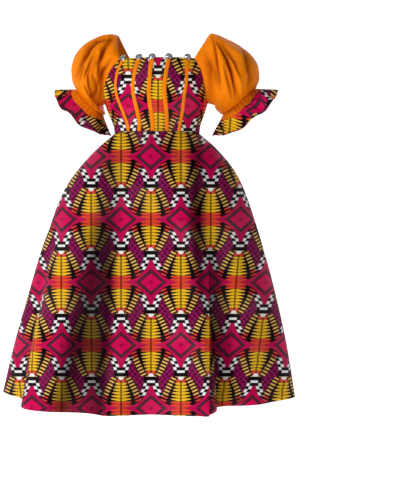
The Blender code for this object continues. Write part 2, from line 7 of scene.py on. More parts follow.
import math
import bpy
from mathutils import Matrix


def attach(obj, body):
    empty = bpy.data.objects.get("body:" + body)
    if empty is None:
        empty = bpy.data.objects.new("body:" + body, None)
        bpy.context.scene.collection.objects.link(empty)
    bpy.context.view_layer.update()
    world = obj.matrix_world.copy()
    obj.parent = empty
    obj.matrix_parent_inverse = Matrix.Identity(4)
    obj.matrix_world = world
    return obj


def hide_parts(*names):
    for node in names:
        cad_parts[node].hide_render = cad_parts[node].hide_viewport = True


bl_info = {
    "name": "Wax Print Dress",
    "version": (1, 0, 0),
    "blender": (4, 5, 0),
    "location": "3D View > Sidebar > Dress",
    "description": "Makes the cloth and trimmings of a wax print midi dress around its frame",
    "category": "Object",
}

import bmesh
import bpy
import numpy as np
from bpy.props import FloatProperty, FloatVectorProperty, IntProperty, PointerProperty
from mathutils import Matrix, Vector

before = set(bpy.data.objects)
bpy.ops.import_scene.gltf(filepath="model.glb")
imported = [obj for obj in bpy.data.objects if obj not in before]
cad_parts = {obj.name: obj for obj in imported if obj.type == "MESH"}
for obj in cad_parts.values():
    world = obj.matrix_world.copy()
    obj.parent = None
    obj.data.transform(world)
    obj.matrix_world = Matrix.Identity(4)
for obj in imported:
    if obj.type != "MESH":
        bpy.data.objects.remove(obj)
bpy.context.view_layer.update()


def table_of(columns, *rows):
    """Rows of numbers by the names of their columns."""
    return [dict(zip(columns.split(), row)) for row in rows]


# Cloth and seams
CLOTH = 0.0010
SEAM_GAP = 0.0003
CAD_CLOTH = 0.0016

# Levels, measured from the shoulder points
NECK_Z = -0.087
BACK_NECK_Z = -0.075
WAIST_Z = -0.318
HEM_Z = -1.172

# The upper body turns a little against the skirt, and the turn grows over this height above the waist
TORSO_TURN = 8.0
TURN_HEIGHT = 0.13
SHOULDER_SWAY = 0.007

# Rings of the bodice, from the neckline to the waist
BODICE_SECTIONS = table_of(
    "z half_width front back centre",
    (-0.055, 0.158, 0.088, 0.098, 0.003),
    (-0.087, 0.167, 0.104, 0.106, 0.001),
    (-0.112, 0.173, 0.121, 0.110, -0.001),
    (-0.138, 0.176, 0.136, 0.113, -0.002),
    (-0.168, 0.176, 0.144, 0.114, -0.002),
    (-0.198, 0.172, 0.140, 0.111, -0.001),
    (-0.232, 0.162, 0.127, 0.105, 0.001),
    (-0.267, 0.149, 0.115, 0.099, 0.003),
    (-0.293, 0.139, 0.108, 0.096, 0.004),
    (-0.318, 0.135, 0.105, 0.095, 0.005),
)

# The seam between bodice and sleeve, from the neckline corner to the underarm
ARMHOLE_SEAM = table_of(
    "turn right left z",
    (67.5, 38.5, 50.0, -0.087), (80, 43.5, 54.0, -0.101), (95, 49.5, 60.0, -0.123),
    (115, 57.0, 66.0, -0.156), (135, 64.5, 71.0, -0.187), (155, 74.0, 77.5, -0.211),
    (180, 90.0, 90.0, -0.223),
)
BACK_RISE_END = 115
SHOULDER_POINTS = {"right": np.array((-0.131, 0.012, 0.0)), "left": np.array((0.164, 0.012, -0.006))}
STRAP_BOW = 0.006
STRAP_DROP = 1.5
SLEEVE_GAP = 0.0005
HOLE_CENTRE = np.array((0.150, 0, -0.080))

# Rings of the skirt, from the waist to the hem
SKIRT_SECTIONS = table_of(
    "z half_width front back centre",
    (-0.318, 0.135, 0.105, 0.095, 0.005),
    (-0.332, 0.151, 0.119, 0.111, 0.005),
    (-0.350, 0.173, 0.143, 0.137, 0.005),
    (-0.387, 0.210, 0.177, 0.173, 0.004),
    (-0.430, 0.246, 0.208, 0.206, 0.002),
    (-0.480, 0.277, 0.235, 0.235, -0.002),
    (-0.530, 0.299, 0.254, 0.257, -0.005),
    (-0.580, 0.316, 0.270, 0.276, -0.006),
    (-0.691, 0.351, 0.298, 0.306, -0.008),
    (-0.845, 0.390, 0.328, 0.338, -0.010),
    (-0.998, 0.424, 0.354, 0.364, -0.014),
    (-1.172, 0.453, 0.374, 0.384, -0.019),
)
SKIRT_FOLDS = table_of(
    "angle reach out top",
    (-112, 17, 0.034, -0.42), (-88, 13, 0.014, -0.40), (-67, 13, -0.030, -0.45), (-42, 20, 0.046, -0.40),
    (-26, 9, -0.012, -0.60), (-13, 11, 0.034, -0.50), (3, 12, -0.026, -0.45), (20, 12, 0.050, -0.45),
    (37, 13, -0.060, -0.40), (60, 15, -0.016, -0.42), (86, 14, 0.012, -0.40), (108, 14, -0.028, -0.44),
    (130, 15, 0.036, -0.42), (152, 12, -0.030, -0.46), (172, 12, 0.034, -0.44), (-170, 9, -0.012, -0.50),
    (-153, 12, 0.026, -0.46), (-133, 11, -0.026, -0.44),
)
FOLD_ROUNDNESS = 2.2
FOLD_GROWTH = 1.15
HEM_LEVELS = table_of(
    "angle z",
    (-180, -1.162), (-90, -1.140), (-45, -1.168), (20, -1.177), (40, -1.162), (90, -1.156), (180, -1.162),
)

# Folds that lean over sideways, so that their edge hides what lies behind it. Lean is how far the edge moves.
LEANING_FOLDS = table_of(
    "angle reach lean top",
    (16.2, 4.8, 0.026, -0.56), (-46, 8, -0.008, -0.70), (141, 6, 0.018, -0.60), (-163, 6, -0.014, -0.66),
)
LEAN_GROWTH = 2.2

# Pockets in the side seams
POCKET = dict(top=-0.415, bottom=-0.565, half_gape=0.012)
POCKET_RINGS = table_of(
    "front_angle front_in back_angle back_in top bottom",
    (3.2, 0.0030, -3.2, 0.0030, -0.411, -0.569),
    (5.0, 0.0034, -2.8, 0.0150, -0.412, -0.573),
    (8.5, 0.0040, 1.5, 0.0270, -0.414, -0.585),
    (15.0, 0.0042, 11.0, 0.0300, -0.419, -0.604),
    (23.0, 0.0045, 22.0, 0.0270, -0.430, -0.620),
    (31.0, 0.0050, 31.0, 0.0190, -0.460, -0.618),
    (34.0, 0.0060, 34.0, 0.0130, -0.490, -0.600),
)

# Rings of each sleeve, by the highest and lowest point of the ring seen from the front
SLEEVE_COLUMNS = "top_x top_z low_x low_z depth y droop"
SLEEVE_RINGS = {
    "right": table_of(
        SLEEVE_COLUMNS,
        (-0.152, 0.0030, -0.188, -0.229, 0.079, -0.002, 0.000),
        (-0.176, 0.0010, -0.190, -0.232, 0.094, 0.005, 0.002),
        (-0.208, -0.0100, -0.188, -0.235, 0.115, 0.012, 0.004),
        (-0.244, -0.0320, -0.184, -0.238, 0.122, 0.014, 0.006),
        (-0.270, -0.0660, -0.178, -0.241, 0.119, 0.016, 0.007),
        (-0.280, -0.1040, -0.172, -0.244, 0.108, 0.018, 0.008),
        (-0.278, -0.1380, -0.168, -0.248, 0.091, 0.020, 0.009),
        (-0.270, -0.1560, -0.167, -0.251, 0.072, 0.021, 0.010),
        (-0.264, -0.1690, -0.172, -0.255, 0.055, 0.021, 0.010),
    ),
    "left": table_of(
        SLEEVE_COLUMNS,
        (0.176, -0.0010, 0.188, -0.229, 0.068, 0.000, 0.000),
        (0.194, -0.0060, 0.190, -0.232, 0.095, 0.005, 0.002),
        (0.224, -0.0190, 0.190, -0.236, 0.118, 0.012, 0.004),
        (0.264, -0.0400, 0.192, -0.240, 0.127, 0.012, 0.006),
        (0.300, -0.0690, 0.195, -0.244, 0.127, 0.013, 0.008),
        (0.323, -0.1070, 0.200, -0.248, 0.117, 0.015, 0.010),
        (0.327, -0.1420, 0.204, -0.252, 0.099, 0.017, 0.012),
        (0.321, -0.1600, 0.208, -0.254, 0.078, 0.018, 0.012),
        (0.314, -0.1760, 0.214, -0.257, 0.060, 0.018, 0.012),
    ),
}
DROOP_POWER = 1.5
SQUARE_UNTIL = 1.5
LEAVING_BOW = 0.6
PLEAT_SHARPNESS = 0.005

# Gathers of each sleeve. A gather runs from one turn and ring to another, and out is its height, or depth if
# it is below zero. Width is in metres.
GATHER_COLUMNS = "turn start end_turn end width out"
SLEEVE_GATHERS = {
    "right": table_of(
        GATHER_COLUMNS,
        (-2, 0.2, 4, 5.5, 0.012, -0.003), (-14, 0.5, -20, 5.0, 0.012, -0.007),
        (-36, 0.5, -46, 6.0, 0.013, -0.009), (-58, 0.5, -66, 5.0, 0.010, -0.006),
        (-82, 0.5, -84, 6.5, 0.012, -0.008), (-108, 0.5, -106, 5.5, 0.010, -0.005),
        (-134, 0.5, -128, 6.0, 0.010, -0.004),
    ),
    "left": table_of(
        GATHER_COLUMNS,
        (-2, 0.2, 4, 5.5, 0.012, -0.003), (-26, 0.5, -34, 5.0, 0.010, -0.006),
        (-46, 0.5, -56, 6.5, 0.013, -0.009), (-68, 0.5, -76, 5.5, 0.010, -0.006),
        (-92, 0.5, -96, 6.0, 0.011, -0.007), (-118, 0.5, -114, 5.5, 0.010, -0.005),
        (-142, 0.5, -136, 5.0, 0.010, -0.003),
    ),
}
# Small gathers that the elastic makes at the end of a sleeve, and that the armhole seam makes at its start.
# They are as high as the first uneven share, give or take the second.
ELASTIC_GATHERS = dict(count=31, out=0.0030, reach=2.6, drift=1.9)
SEAM_GATHERS = dict(count=23, out=0.0016, reach=1.4, drift=1.3)
UNEVEN = (0.65, 0.35)

# Below its elastic each sleeve flares out plain, and a printed frill is sewn to the flare
CUFF_COLUMNS = "top_down top_out foot_down foot_out front_down front_out wave"
FLARE_RINGS = table_of(
    CUFF_COLUMNS,
    (0.0006, 0.0000, 0.0006, 0.0000, 0.0008, 0.0, 0.0),
    (0.0070, 0.0050, 0.0050, 0.0070, 0.0110, 0.004, 0.1),
    (0.0140, 0.0110, 0.0095, 0.0150, 0.0230, 0.009, 0.2),
)
FRILL_RINGS = table_of(
    CUFF_COLUMNS,
    (0.0143, 0.0113, 0.0098, 0.0154, 0.0234, 0.0092, 0.2),
    (0.0290, 0.0215, 0.0180, 0.0300, 0.0380, 0.0180, 0.5),
    (0.0430, 0.0335, 0.0260, 0.0440, 0.0520, 0.0280, 0.8),
    (0.0570, 0.0450, 0.0340, 0.0580, 0.0640, 0.0380, 1.0),
)
CUFF_SQUARENESS = 3.5
# How much shade is painted evenly on a flare, and how much that painted shade swings with the elastic's
# gathers
FLARE_PAINTED_SHADE = (0.40, 0.15)
FRILL_WAVES = dict(count=8, out=0.0085, along=0.0050, uneven=0.7)
FRILL_GATHERS = dict(count=27, out=0.0016, drift=1.7)

# Piped strips on the bodice front and the jewelled buttons at their tops, by angle at each height
STRIPS = table_of(
    "neck bust under_bust waist",
    (-34.5, -38.0, -39.2, -40.4), (-14.2, -15.6, -18.2, -23.0), (0.4, 1.4, -1.6, -4.7),
    (18.3, 17.2, 16.0, 14.2), (40.4, 40.5, 36.8, 31.6),
)
STRIP_LEVELS = dict(bust=-0.160, under_bust=-0.242)
STRIP_HALF_WIDTH = 0.0050
STRIP_THICK = 0.0014
STRIP_LIFT = 0.0006
# A strip starts this far above the waist, and its edge and its middle rise by these shares of its thickness
STRIP_FOOT = 0.0002
STRIP_EDGE, STRIP_CROWN = 0.45, 0.55
BUTTON_LIFT = 0.0009
# Widths are in shares of a button's radius, and heights in metres. Rim and hollow are a width and a height,
# claws are how far out, how high and how wide, and each row of facets is its height and its narrowing.
BUTTON = dict(
    foot=0.86,
    flare=1.16,
    height=0.0016,
    thick=0.0012,
    rim=(0.10, 0.0004),
    hollow=(0.07, -0.0012),
    claws=(0.80, 0.0034, 0.105),
    rounding=0.00025,
    stone=(0.74, 0.0028),
    facets=((0.0011, 0.80), (0.0007, 0.62)),
    facet_turn=15,
)

# The concealed zip's tape, inside the centre back seam, by how deep it lies behind the cloth's outer face
ZIP = dict(half_width=0.0110, thick=0.0010)
ZIP_LEVELS = table_of(
    "z depth",
    (-0.079, 0.0024), (-0.110, 0.0028), (-0.145, 0.0028), (-0.180, 0.0028), (-0.215, 0.0028),
    (-0.250, 0.0028), (-0.285, 0.0028), (-0.310, 0.0036), (-0.326, 0.0090), (-0.350, 0.0080),
    (-0.387, 0.0080), (-0.430, 0.0060), (-0.480, 0.0050), (-0.520, 0.0050),
)

# Length, width and height of a tooth of the zip and of a stitch of the hem. The teeth stand to either side of
# the middle by a share of their length.
TOOTH = dict(gap=0.0022, size=(0.0040, 0.0013, 0.0010), apart=0.3, sunk=0.0001)
STITCH = dict(gap=0.0042, size=(0.0028, 0.0006, 0.0004), above_hem=0.020)
BOX_TAPER = 0.7

# A gather starts with the first share of its width and widens by the second. It presses down the cloth beside
# it, this many widths away, by a share of its height.
GATHER_WIDTHS = (0.55, 0.6)
GATHER_RIDGE = dict(share=0.35, away=1.9)
# How far below the plain sleeve a gather's hollow gets its full painted shade, and how quickly that painted
# shade grows
TROUGH_PAINTED_SHADE = dict(depth=0.007, power=1.3)

# Creases of each piece, by the face that they are seen on: width, how far out or, below zero, in, how much
# shade is painted along it, and then across and height for each point of the crease's path. Across is x on
# the front and the back, and y on a side. The pleat is a crease on the front whose left half is cut off, so
# that it starts with a step.
CREASES = {
    "skirt": {
        "front": [
            (0.042, -0.030, 1.0, -0.128, -0.40, -0.200, -1.50),
            (0.040, -0.014, 1.0, -0.176, -0.62, -0.325, -1.50),
            (0.022, -0.014, 0.9, 0.143, -0.30, 0.148, -0.86),
            (0.011, -0.0075, 0, -0.167, -0.585, -0.186, -0.672),
            (0.010, 0.0045, 0, -0.150, -0.590, -0.170, -0.660),
            (0.012, -0.0050, 0, -0.112, -0.352, -0.176, -0.410),
            (0.020, -0.0080, 0, 0.132, -0.420, 0.122, -0.700),
            (0.012, -0.0035, 0, -0.020, -0.340, -0.060, -0.480),
            (0.011, -0.0035, 0, 0.070, -0.336, 0.092, -0.470),
            (0.012, -0.0060, 0, -0.262, -0.560, -0.200, -0.610),
            (0.012, -0.0060, 0, 0.245, -0.570, 0.190, -0.640),
        ],
        "pleat": [
            (0.040, -0.026, 1.5, 0.1735, -0.70, 0.1740, -1.60),
        ],
        "back": [
            (0.013, -0.0050, 0, -0.150, -0.360, -0.190, -0.480),
            (0.013, -0.0050, 0, 0.135, -0.350, 0.180, -0.500),
            (0.011, -0.0035, 0, 0.060, -0.340, 0.085, -0.450),
            (0.011, -0.0035, 0, -0.055, -0.340, -0.075, -0.470),
            (0.013, -0.0060, 0, -0.170, -0.640, -0.200, -0.760),
        ],
        "right": [
            (0.012, -0.0060, 0, -0.030, -0.600, 0.020, -0.700),
        ],
        "left": [
            (0.012, -0.0060, 0, 0.030, -0.600, -0.020, -0.710),
        ],
    },
    "bodice": {
        "front": [
            (0.006, -0.0016, 0, -0.120, -0.262, -0.070, -0.272),
            (0.006, -0.0018, 0, -0.118, -0.288, -0.060, -0.296),
            (0.006, -0.0018, 0, 0.060, -0.298, 0.122, -0.284),
            (0.006, -0.0014, 0, 0.070, -0.272, 0.125, -0.256),
            (0.008, -0.0020, 0, -0.150, -0.190, -0.090, -0.216),
            (0.008, -0.0020, 0, 0.155, -0.190, 0.100, -0.218),
        ],
        "back": [
            (0.006, -0.0020, 0, -0.110, -0.280, -0.040, -0.292),
            (0.006, -0.0020, 0, 0.105, -0.278, 0.035, -0.288),
            (0.008, -0.0020, 0, -0.130, -0.200, -0.060, -0.180),
            (0.008, -0.0020, 0, 0.130, -0.196, 0.062, -0.176),
        ],
    },
    "sleeve_left": {
        "front": [
            (0.0050, -0.0096, 1.0, 0.182, -0.018, 0.187, -0.055, 0.193, -0.114, 0.202, -0.171),
            (0.0090, -0.0060, 0.6, 0.158, -0.066, 0.170, -0.100, 0.188, -0.150, 0.206, -0.196),
            (0.0058, -0.0150, 1.2, 0.195, -0.033, 0.211, -0.064, 0.227, -0.096, 0.239, -0.133, 0.249,
             -0.177, 0.256, -0.214),
            (0.0060, -0.0100, 0.85, 0.209, -0.039, 0.233, -0.074, 0.255, -0.108, 0.264, -0.146),
            (0.0085, -0.0090, 0.8, 0.280, -0.052, 0.288, -0.098, 0.303, -0.146, 0.294, -0.190),
            (0.0050, -0.0080, 0.6, 0.217, -0.120, 0.230, -0.171, 0.242, -0.217),
            (0.0081, 0.0080, 0, 0.202, -0.052, 0.211, -0.096, 0.220, -0.158, 0.233, -0.214),
            (0.0074, 0.0080, 0, 0.255, -0.133, 0.267, -0.177, 0.271, -0.214),
            (0.0081, -0.0064, 0.6, 0.164, -0.096, 0.175, -0.158, 0.177, -0.230),
            (0.0093, 0.0064, 0, 0.230, -0.052, 0.267, -0.080, 0.286, -0.108),
        ],
    },
    "sleeve_right": {
        "front": [
            (0.0085, -0.0130, 1.15, -0.139, -0.014, -0.186, -0.022, -0.206, -0.045, -0.221, -0.079,
             -0.238, -0.115, -0.253, -0.142),
            (0.0070, -0.0128, 1.1, -0.139, -0.015, -0.152, -0.036, -0.164, -0.060, -0.176, -0.100,
             -0.180, -0.136),
            (0.0052, -0.0080, 0.85, -0.136, -0.084, -0.152, -0.107, -0.167, -0.128, -0.176, -0.165),
            (0.0042, -0.0075, 0.85, -0.194, -0.080, -0.204, -0.103, -0.214, -0.128, -0.223, -0.150),
            (0.0068, -0.0080, 0.6, -0.222, -0.108, -0.236, -0.142, -0.244, -0.164),
            (0.0050, -0.0072, 0.5, -0.199, -0.111, -0.208, -0.142, -0.205, -0.177, -0.196, -0.205),
            (0.0062, -0.0088, 0.65, -0.160, -0.114, -0.164, -0.149, -0.169, -0.189, -0.178, -0.221),
            (0.0046, -0.0066, 0.75, -0.196, -0.140, -0.186, -0.165, -0.186, -0.185, -0.196, -0.208),
            (0.0046, -0.0064, 0.5, -0.196, -0.186, -0.199, -0.211, -0.193, -0.236),
            (0.0050, -0.0064, 0.5, -0.224, -0.168, -0.213, -0.189, -0.202, -0.217),
            (0.0074, 0.0096, 0, -0.174, -0.055, -0.174, -0.099, -0.188, -0.142, -0.186, -0.189),
            (0.0081, 0.0064, 0, -0.130, -0.039, -0.133, -0.070, -0.152, -0.102),
            (0.0081, 0.0072, 0, -0.221, -0.080, -0.233, -0.108, -0.230, -0.146),
        ],
    },
}
FACES = {
    "front": (0, (0, -1, 0)),
    "pleat": (0, (0, -1, 0)),
    "back": (0, (0, 1, 0)),
    "right": (1, (-1, 0, 0)),
    "left": (1, (1, 0, 0)),
}
# A crease fades in from this share of its length before its path's start, and out as far past its end
CREASE_FADE = 0.15

# Where the print's diamonds lie on each piece, seen from the front or, on the back pieces, from behind
VIEW_DISTANCE = 4.5
VIEW_CENTRE = dict(x=0.15, z=-0.69)
DIAMOND_AT = {
    "skirt": dict(x=-0.0692, z=0.0981),
    "bodice": dict(x=-0.2378, z=0.4608),
    "frill_right": dict(x=-0.4073, z=0.4656),
    "frill_left": dict(x=0.1870, z=0.4440),
}
LEAST_SPREAD = 0.45
# The print's grain on a sleeve: the width of its cloth, and its length from ring to ring
SLEEVE_CLOTH = dict(around=0.72, ring=0.042)
# The diamonds of a row lie this many units of the drawing apart
PRINT_UNITS = 59.8
CLOTH_SHINE = 0.04

# The stage: a sheet of paper as the floor, which bends up behind. It glows fully this far behind its start.
BACKDROP = dict(width=30, height=16, bend=5, segments=16)
GLOW_SPAN = 2
WORLD_LIGHT = 0.10
LENS = dict(height=36, length=101.25)
LIGHTS = (
    ("key_light", (-2.6, -3.0, 1.4), 1.3, 130),
    ("fill_light", (2.8, -3.0, 0.2), 2.6, 20),
    ("back_light", (0.6, 3.0, 1.8), 2.4, 40),
)
LIGHTS_AIM = (0, 0, -0.5)

SIDES = (("right", -1), ("left", 1))

# How finely each piece is drawn: steps around and steps down. A bodice panel has this many of its steps in
# each armhole, and the skirt's rows lie closer together as they near the waist.
ARMHOLE_STEPS = 40
SKIRT_ROW_POWER = 0.85
STEPS = {
    "bodice_front": (150, 70),
    "bodice_back": (76, 70),
    "skirt_front": (260, 130),
    "skirt_back": (130, 130),
    "sleeve": (240, 72),
    "flare": (192, 8),
    "frill": (224, 26),
    "pocket": (40, 36),
    "strip": (8, 60),
    "zip": (8, 110),
}


def number(name, description, default, unit="LENGTH", **limits):
    """A size that a user can change."""
    if isinstance(default, int):
        return IntProperty(name=name, description=description, default=default, min=1)
    return FloatProperty(name=name, description=description, default=default, unit=unit, **limits)


def colour(name, description, default):
    """A colour that a user can change."""
    return FloatVectorProperty(
        name=name, description=description, default=default, subtype="COLOR", size=3, min=0, max=1
    )


class DressPrintSettings(bpy.types.PropertyGroup):
    """The wax print and its colours"""

    repeat_width: number("Repeat Width", "Width from diamond to diamond along a row", 0.1914, precision=4)
    repeat_height: number("Repeat Height", "Height from a diamond to the one above it", 0.4026, precision=4)
    magenta: colour("Magenta", "Colour of the diamonds", (0.600, 0.002, 0.084))
    rose: colour("Rose", "Colour of the ground around the diamonds", (0.450, 0.002, 0.072))
    purple: colour("Purple", "Colour of the checks between the fans", (0.300, 0.007, 0.115))
    gold: colour("Gold", "Colour of the fans", (0.900, 0.510, 0.012))
    cream: colour("Cream", "Colour of the outer petals", (0.800, 0.470, 0.110))
    orange: colour("Orange", "Colour of the middle of the fans", (0.780, 0.060, 0.015))
    white: colour("White", "Colour of the white dashes", (0.830, 0.820, 0.800))
    dark: colour("Dark", "Colour of the outlines", (0.005, 0.002, 0.004))
    maroon: colour("Maroon", "Colour of the frames of the diamonds", (0.020, 0.001, 0.008))


class DressPlainSettings(bpy.types.PropertyGroup):
    """The plain cloth and the metal"""

    sleeve_colour: colour("Sleeve Colour", "Colour of the sleeves and strips", (0.960, 0.240, 0.003))
    # Painted shade: the colour that the plain cloth is darkened to between its gathers and in its creases
    painted_shade_colour: colour("Trough Colour", "Colour of the cloth between its gathers", (0.330, 0.045, 0.001))
    metal_colour: colour("Metal Colour", "Colour of the buttons' settings", (0.740, 0.740, 0.770))
    stone_colour: colour("Stone Colour", "Colour of the buttons' stones", (0.780, 0.780, 0.840))
    button_radius: number("Button Radius", "Radius of a jewelled button", 0.0112, precision=4)
    button_claws: number("Button Claws", "How many claws hold each stone", 10)


class DressStageSettings(bpy.types.PropertyGroup):
    """The floor, the lights and the camera"""

    camera_distance: number("Camera Distance", "How far in front of the dress the camera stands", 4.5)
    camera_height: number("Camera Height", "Height of the camera from the shoulder points", -0.69)
    floor_height: number("Floor Height", "Height of the floor from the shoulder points", -1.52)
    floor_colour: colour("Floor Colour", "Colour of the floor and backdrop", (0.86, 0.86, 0.86))
    floor_glow: number("Floor Glow", "How brightly the backdrop is lit", 0.9, unit="NONE", min=0)
    glow_start: number("Glow Start", "How far behind its middle the paper starts to glow", -2.6, max=20)


# Shapes


def column(table, name, at, by="z"):
    """A table's column at values of another column, on a smooth curve that never overshoots its rows."""
    rows = sorted(table, key=lambda row: row[by])
    places = np.array([row[by] for row in rows], float)
    values = np.array([row[name] for row in rows], float)
    steps = np.diff(values) / np.diff(places)
    before, after = steps[:-1], steps[1:]
    same_way = before * after > 0
    inner = np.where(same_way, 2 * before * after / np.where(same_way, before + after, 1), 0)
    slopes = np.concatenate([steps[:1], inner, steps[-1:]])
    at = np.asarray(at, float)
    i = np.clip(np.searchsorted(places, at, side="right") - 1, 0, len(steps) - 1)
    width = places[i + 1] - places[i]
    t = np.clip((at - places[i]) / width, 0, 1)
    rise = (3 - 2 * t) * t * t
    value = values[i] * (1 - rise) + values[i + 1] * rise
    value += width * t * (1 - t) * ((1 - t) * slopes[i] - t * slopes[i + 1])
    below = np.minimum(at - places[0], 0) * slopes[0]
    above = np.maximum(at - places[-1], 0) * slopes[-1]
    return value + below + above


def ease(t):
    """Runs smoothly from 0 to 1."""
    t = np.clip(t, 0, 1)
    return t * t * (3 - 2 * t)


def points_of(x, y, z):
    return np.stack(np.broadcast_arrays(x, y, z), axis=-1)


def unit(vectors):
    return vectors / np.linalg.norm(vectors, axis=-1, keepdims=True)


def posed(points):
    """Points of the upper body after it has turned and swayed against the skirt."""
    x, y, z = points[..., 0], points[..., 1], points[..., 2]
    turn = -math.radians(TORSO_TURN) * ease((z - WAIST_Z) / TURN_HEIGHT)
    sway = SHOULDER_SWAY * ease((z - WAIST_Z) / -WAIST_Z)
    return points_of(x * np.cos(turn) - y * np.sin(turn) + sway, x * np.sin(turn) + y * np.cos(turn), z)


def oval(sections, angle, z):
    """Points of oval rings whose front and back may differ in depth."""
    turn = np.radians(angle)
    depth = np.where(np.cos(turn) > 0, column(sections, "front", z), column(sections, "back", z))
    x = column(sections, "centre", z) + column(sections, "half_width", z) * np.sin(turn)
    return points_of(x, -depth * np.cos(turn), z)


def torso(angle, z):
    return oval(BODICE_SECTIONS, angle, z)


def bodice_surface(angle, z):
    return posed(torso(angle, z))


def wrapped(angle):
    return (angle + 180) % 360 - 180


def skirt(angle, z):
    """Points of the skirt's outer face, with its folds and uneven hem."""
    angle, z = np.broadcast_arrays(wrapped(np.asarray(angle, float)), np.asarray(z, float))
    plain = oval(SKIRT_SECTIONS, angle, z)
    out = np.zeros(angle.shape)
    for fold in SKIRT_FOLDS:
        away = wrapped(angle - fold["angle"]) / fold["reach"]
        share = np.clip((fold["top"] - z) / (fold["top"] - HEM_Z), 0, None)
        out += np.where(
            np.abs(away) < 2,
            fold["out"] * np.exp(-FOLD_ROUNDNESS * away * away) * share**FOLD_GROWTH,
            0,
        )
    from_centre = plain - points_of(column(SKIRT_SECTIONS, "centre", z), 0, z)
    outward = unit(from_centre)
    sideways = points_of(-outward[..., 1], outward[..., 0], 0)
    lean = np.zeros(angle.shape)
    for fold in LEANING_FOLDS:
        away = wrapped(angle - fold["angle"]) / fold["reach"]
        share = np.clip((fold["top"] - z) / (fold["top"] - HEM_Z), 0, None)
        lean += fold["lean"] * np.exp(-away * away) * ease(share * LEAN_GROWTH)
    low = np.clip((WAIST_Z - z) / (WAIST_Z - HEM_Z), 0, None)
    lift = (column(HEM_LEVELS, "z", angle, "angle") - HEM_Z) * low**3
    return plain + outward * out[..., None] + sideways * lean[..., None] + points_of(0, 0, lift)


def normals_of(surface, u, v, step=1e-3):
    """The outward normals of a surface whose u runs to the right of v, seen from outside."""
    across = surface(u + step, v) - surface(u - step, v)
    along = surface(u, v + step) - surface(u, v - step)
    return unit(np.cross(across, along))


def along_path(place, path):
    """How far along a path its nearest point to each place is, as a share, and how far away it is."""
    lengths = np.linalg.norm(np.diff(path, axis=0), axis=1)
    nearest, share = np.full(place.shape[:-1], np.inf), np.zeros(place.shape[:-1])
    for k, length in enumerate(lengths):
        run = path[k + 1] - path[k]
        t = (place - path[k]) @ run / (run @ run)
        low = 0 if k else -1
        high = 1 if k < len(lengths) - 1 else 2
        away = np.linalg.norm(place - path[k] - np.clip(t, 0, 1)[..., None] * run, axis=-1)
        closer = away < nearest
        nearest = np.where(closer, away, nearest)
        here = (lengths[:k].sum() + np.clip(t, low, high) * length) / lengths.sum()
        share = np.where(closer, here, share)
    return share, nearest


def creased(points, normals, name):
    """Points with the creases of a piece, and how much shade is painted on each, from 0 to 1."""
    moved, deep = points.copy(), np.zeros(points.shape[:-1])
    for face, rows in CREASES[name].items():
        axis, towards = FACES[face]
        facing = ease(np.clip(normals @ np.array(towards, float), 0, 1) * 2)
        place = np.stack([points[..., axis], points[..., 2]], axis=-1)
        for width, out, dark, *path in rows:
            path = np.reshape(path, (-1, 2))
            t, away = along_path(place, path)
            away = away / width
            fade = np.sin(np.pi * np.clip((t + CREASE_FADE) / (1 + 2 * CREASE_FADE), 0, 1))
            near = np.exp(-away * away) * fade * facing
            if face == "pleat":
                edge = np.interp(place[..., 1], path[::-1, 1], path[::-1, 0])
                near = near * ease((place[..., 0] - edge) / PLEAT_SHARPNESS + 0.5)
            moved += normals * (out * near)[..., None]
            # Shade painted along the crease, as dark as its row says
            deep += near * dark
    return moved, np.clip(deep, 0, 1)


def seam_place(turn, side, behind=False):
    """The angle and height of the sleeve seam, whose back half rises to the back neckline."""
    angle = column(ARMHOLE_SEAM, "left" if side > 0 else "right", turn, "turn")
    z = column(ARMHOLE_SEAM, "z", turn, "turn")
    if behind:
        angle = 180 - angle
        rise = (BACK_RISE_END - turn) / (BACK_RISE_END - ARMHOLE_SEAM[0]["turn"])
        z = z + (BACK_NECK_Z - NECK_Z) * ease(rise)
    return angle * side, z


def armhole(turn, side):
    """Points of a sleeve's first ring, which follows the bodice's edge below the neckline's corners and runs
    over the shoulder between them."""
    turn = turn % 360
    behind = turn > 180
    half = np.where(behind, 360 - turn, turn)
    corner_turn = ARMHOLE_SEAM[0]["turn"]
    shoulder = SHOULDER_POINTS["left" if side > 0 else "right"]

    def edge(at, back):
        here = torso(*seam_place(at, side, back))
        outward = normals_of(torso, *seam_place(at, side, back))
        along = torso(*seam_place(at + 1, side, back)) - torso(*seam_place(at - 1, side, back))
        off = unit(np.cross(unit(along), outward))
        wrong_way = np.sum(off * (HOLE_CENTRE * np.array((side, 1, 1)) - here), axis=-1) < 0
        return here + np.where(wrong_way, -1, 1)[..., None] * off * SLEEVE_GAP

    def ring(back):
        low = edge(np.maximum(half, corner_turn), back)
        corner = edge(np.full(half.shape, corner_turn), back)
        share = np.clip(half / corner_turn, 0, 1)[..., None]
        over = shoulder + (corner - shoulder) * share
        over[..., 2] = shoulder[2] + (corner[..., 2] - shoulder[2]) * share[..., 0] ** STRAP_DROP
        over[..., 0] += side * STRAP_BOW * np.sin(np.pi * share[..., 0])
        return np.where((half >= corner_turn)[..., None], low, over)

    return np.where(behind[..., None], ring(True), ring(False))


def ring_point(ring, turn):
    """Points of oval rings given by their highest and lowest points, seen from the front."""
    rise, forward = np.cos(np.radians(turn)), np.sin(np.radians(turn))
    x = (ring["top_x"] + ring["low_x"]) / 2 + (ring["top_x"] - ring["low_x"]) / 2 * rise
    z = (ring["top_z"] + ring["low_z"]) / 2 + (ring["top_z"] - ring["low_z"]) / 2 * rise
    return points_of(
        x,
        ring["y"] - ring["depth"] * forward,
        z - ring["droop"] * np.maximum(0, forward) ** DROOP_POWER,
    )


def ring_at(rings, v, first=0):
    """A ring between the rings of a piece, where v counts the rings from the number of the first one."""
    table = [dict(ring, v=k) for k, ring in enumerate(rings, start=first)]
    return {key: column(table, key, v, "v") for key in rings[0]}


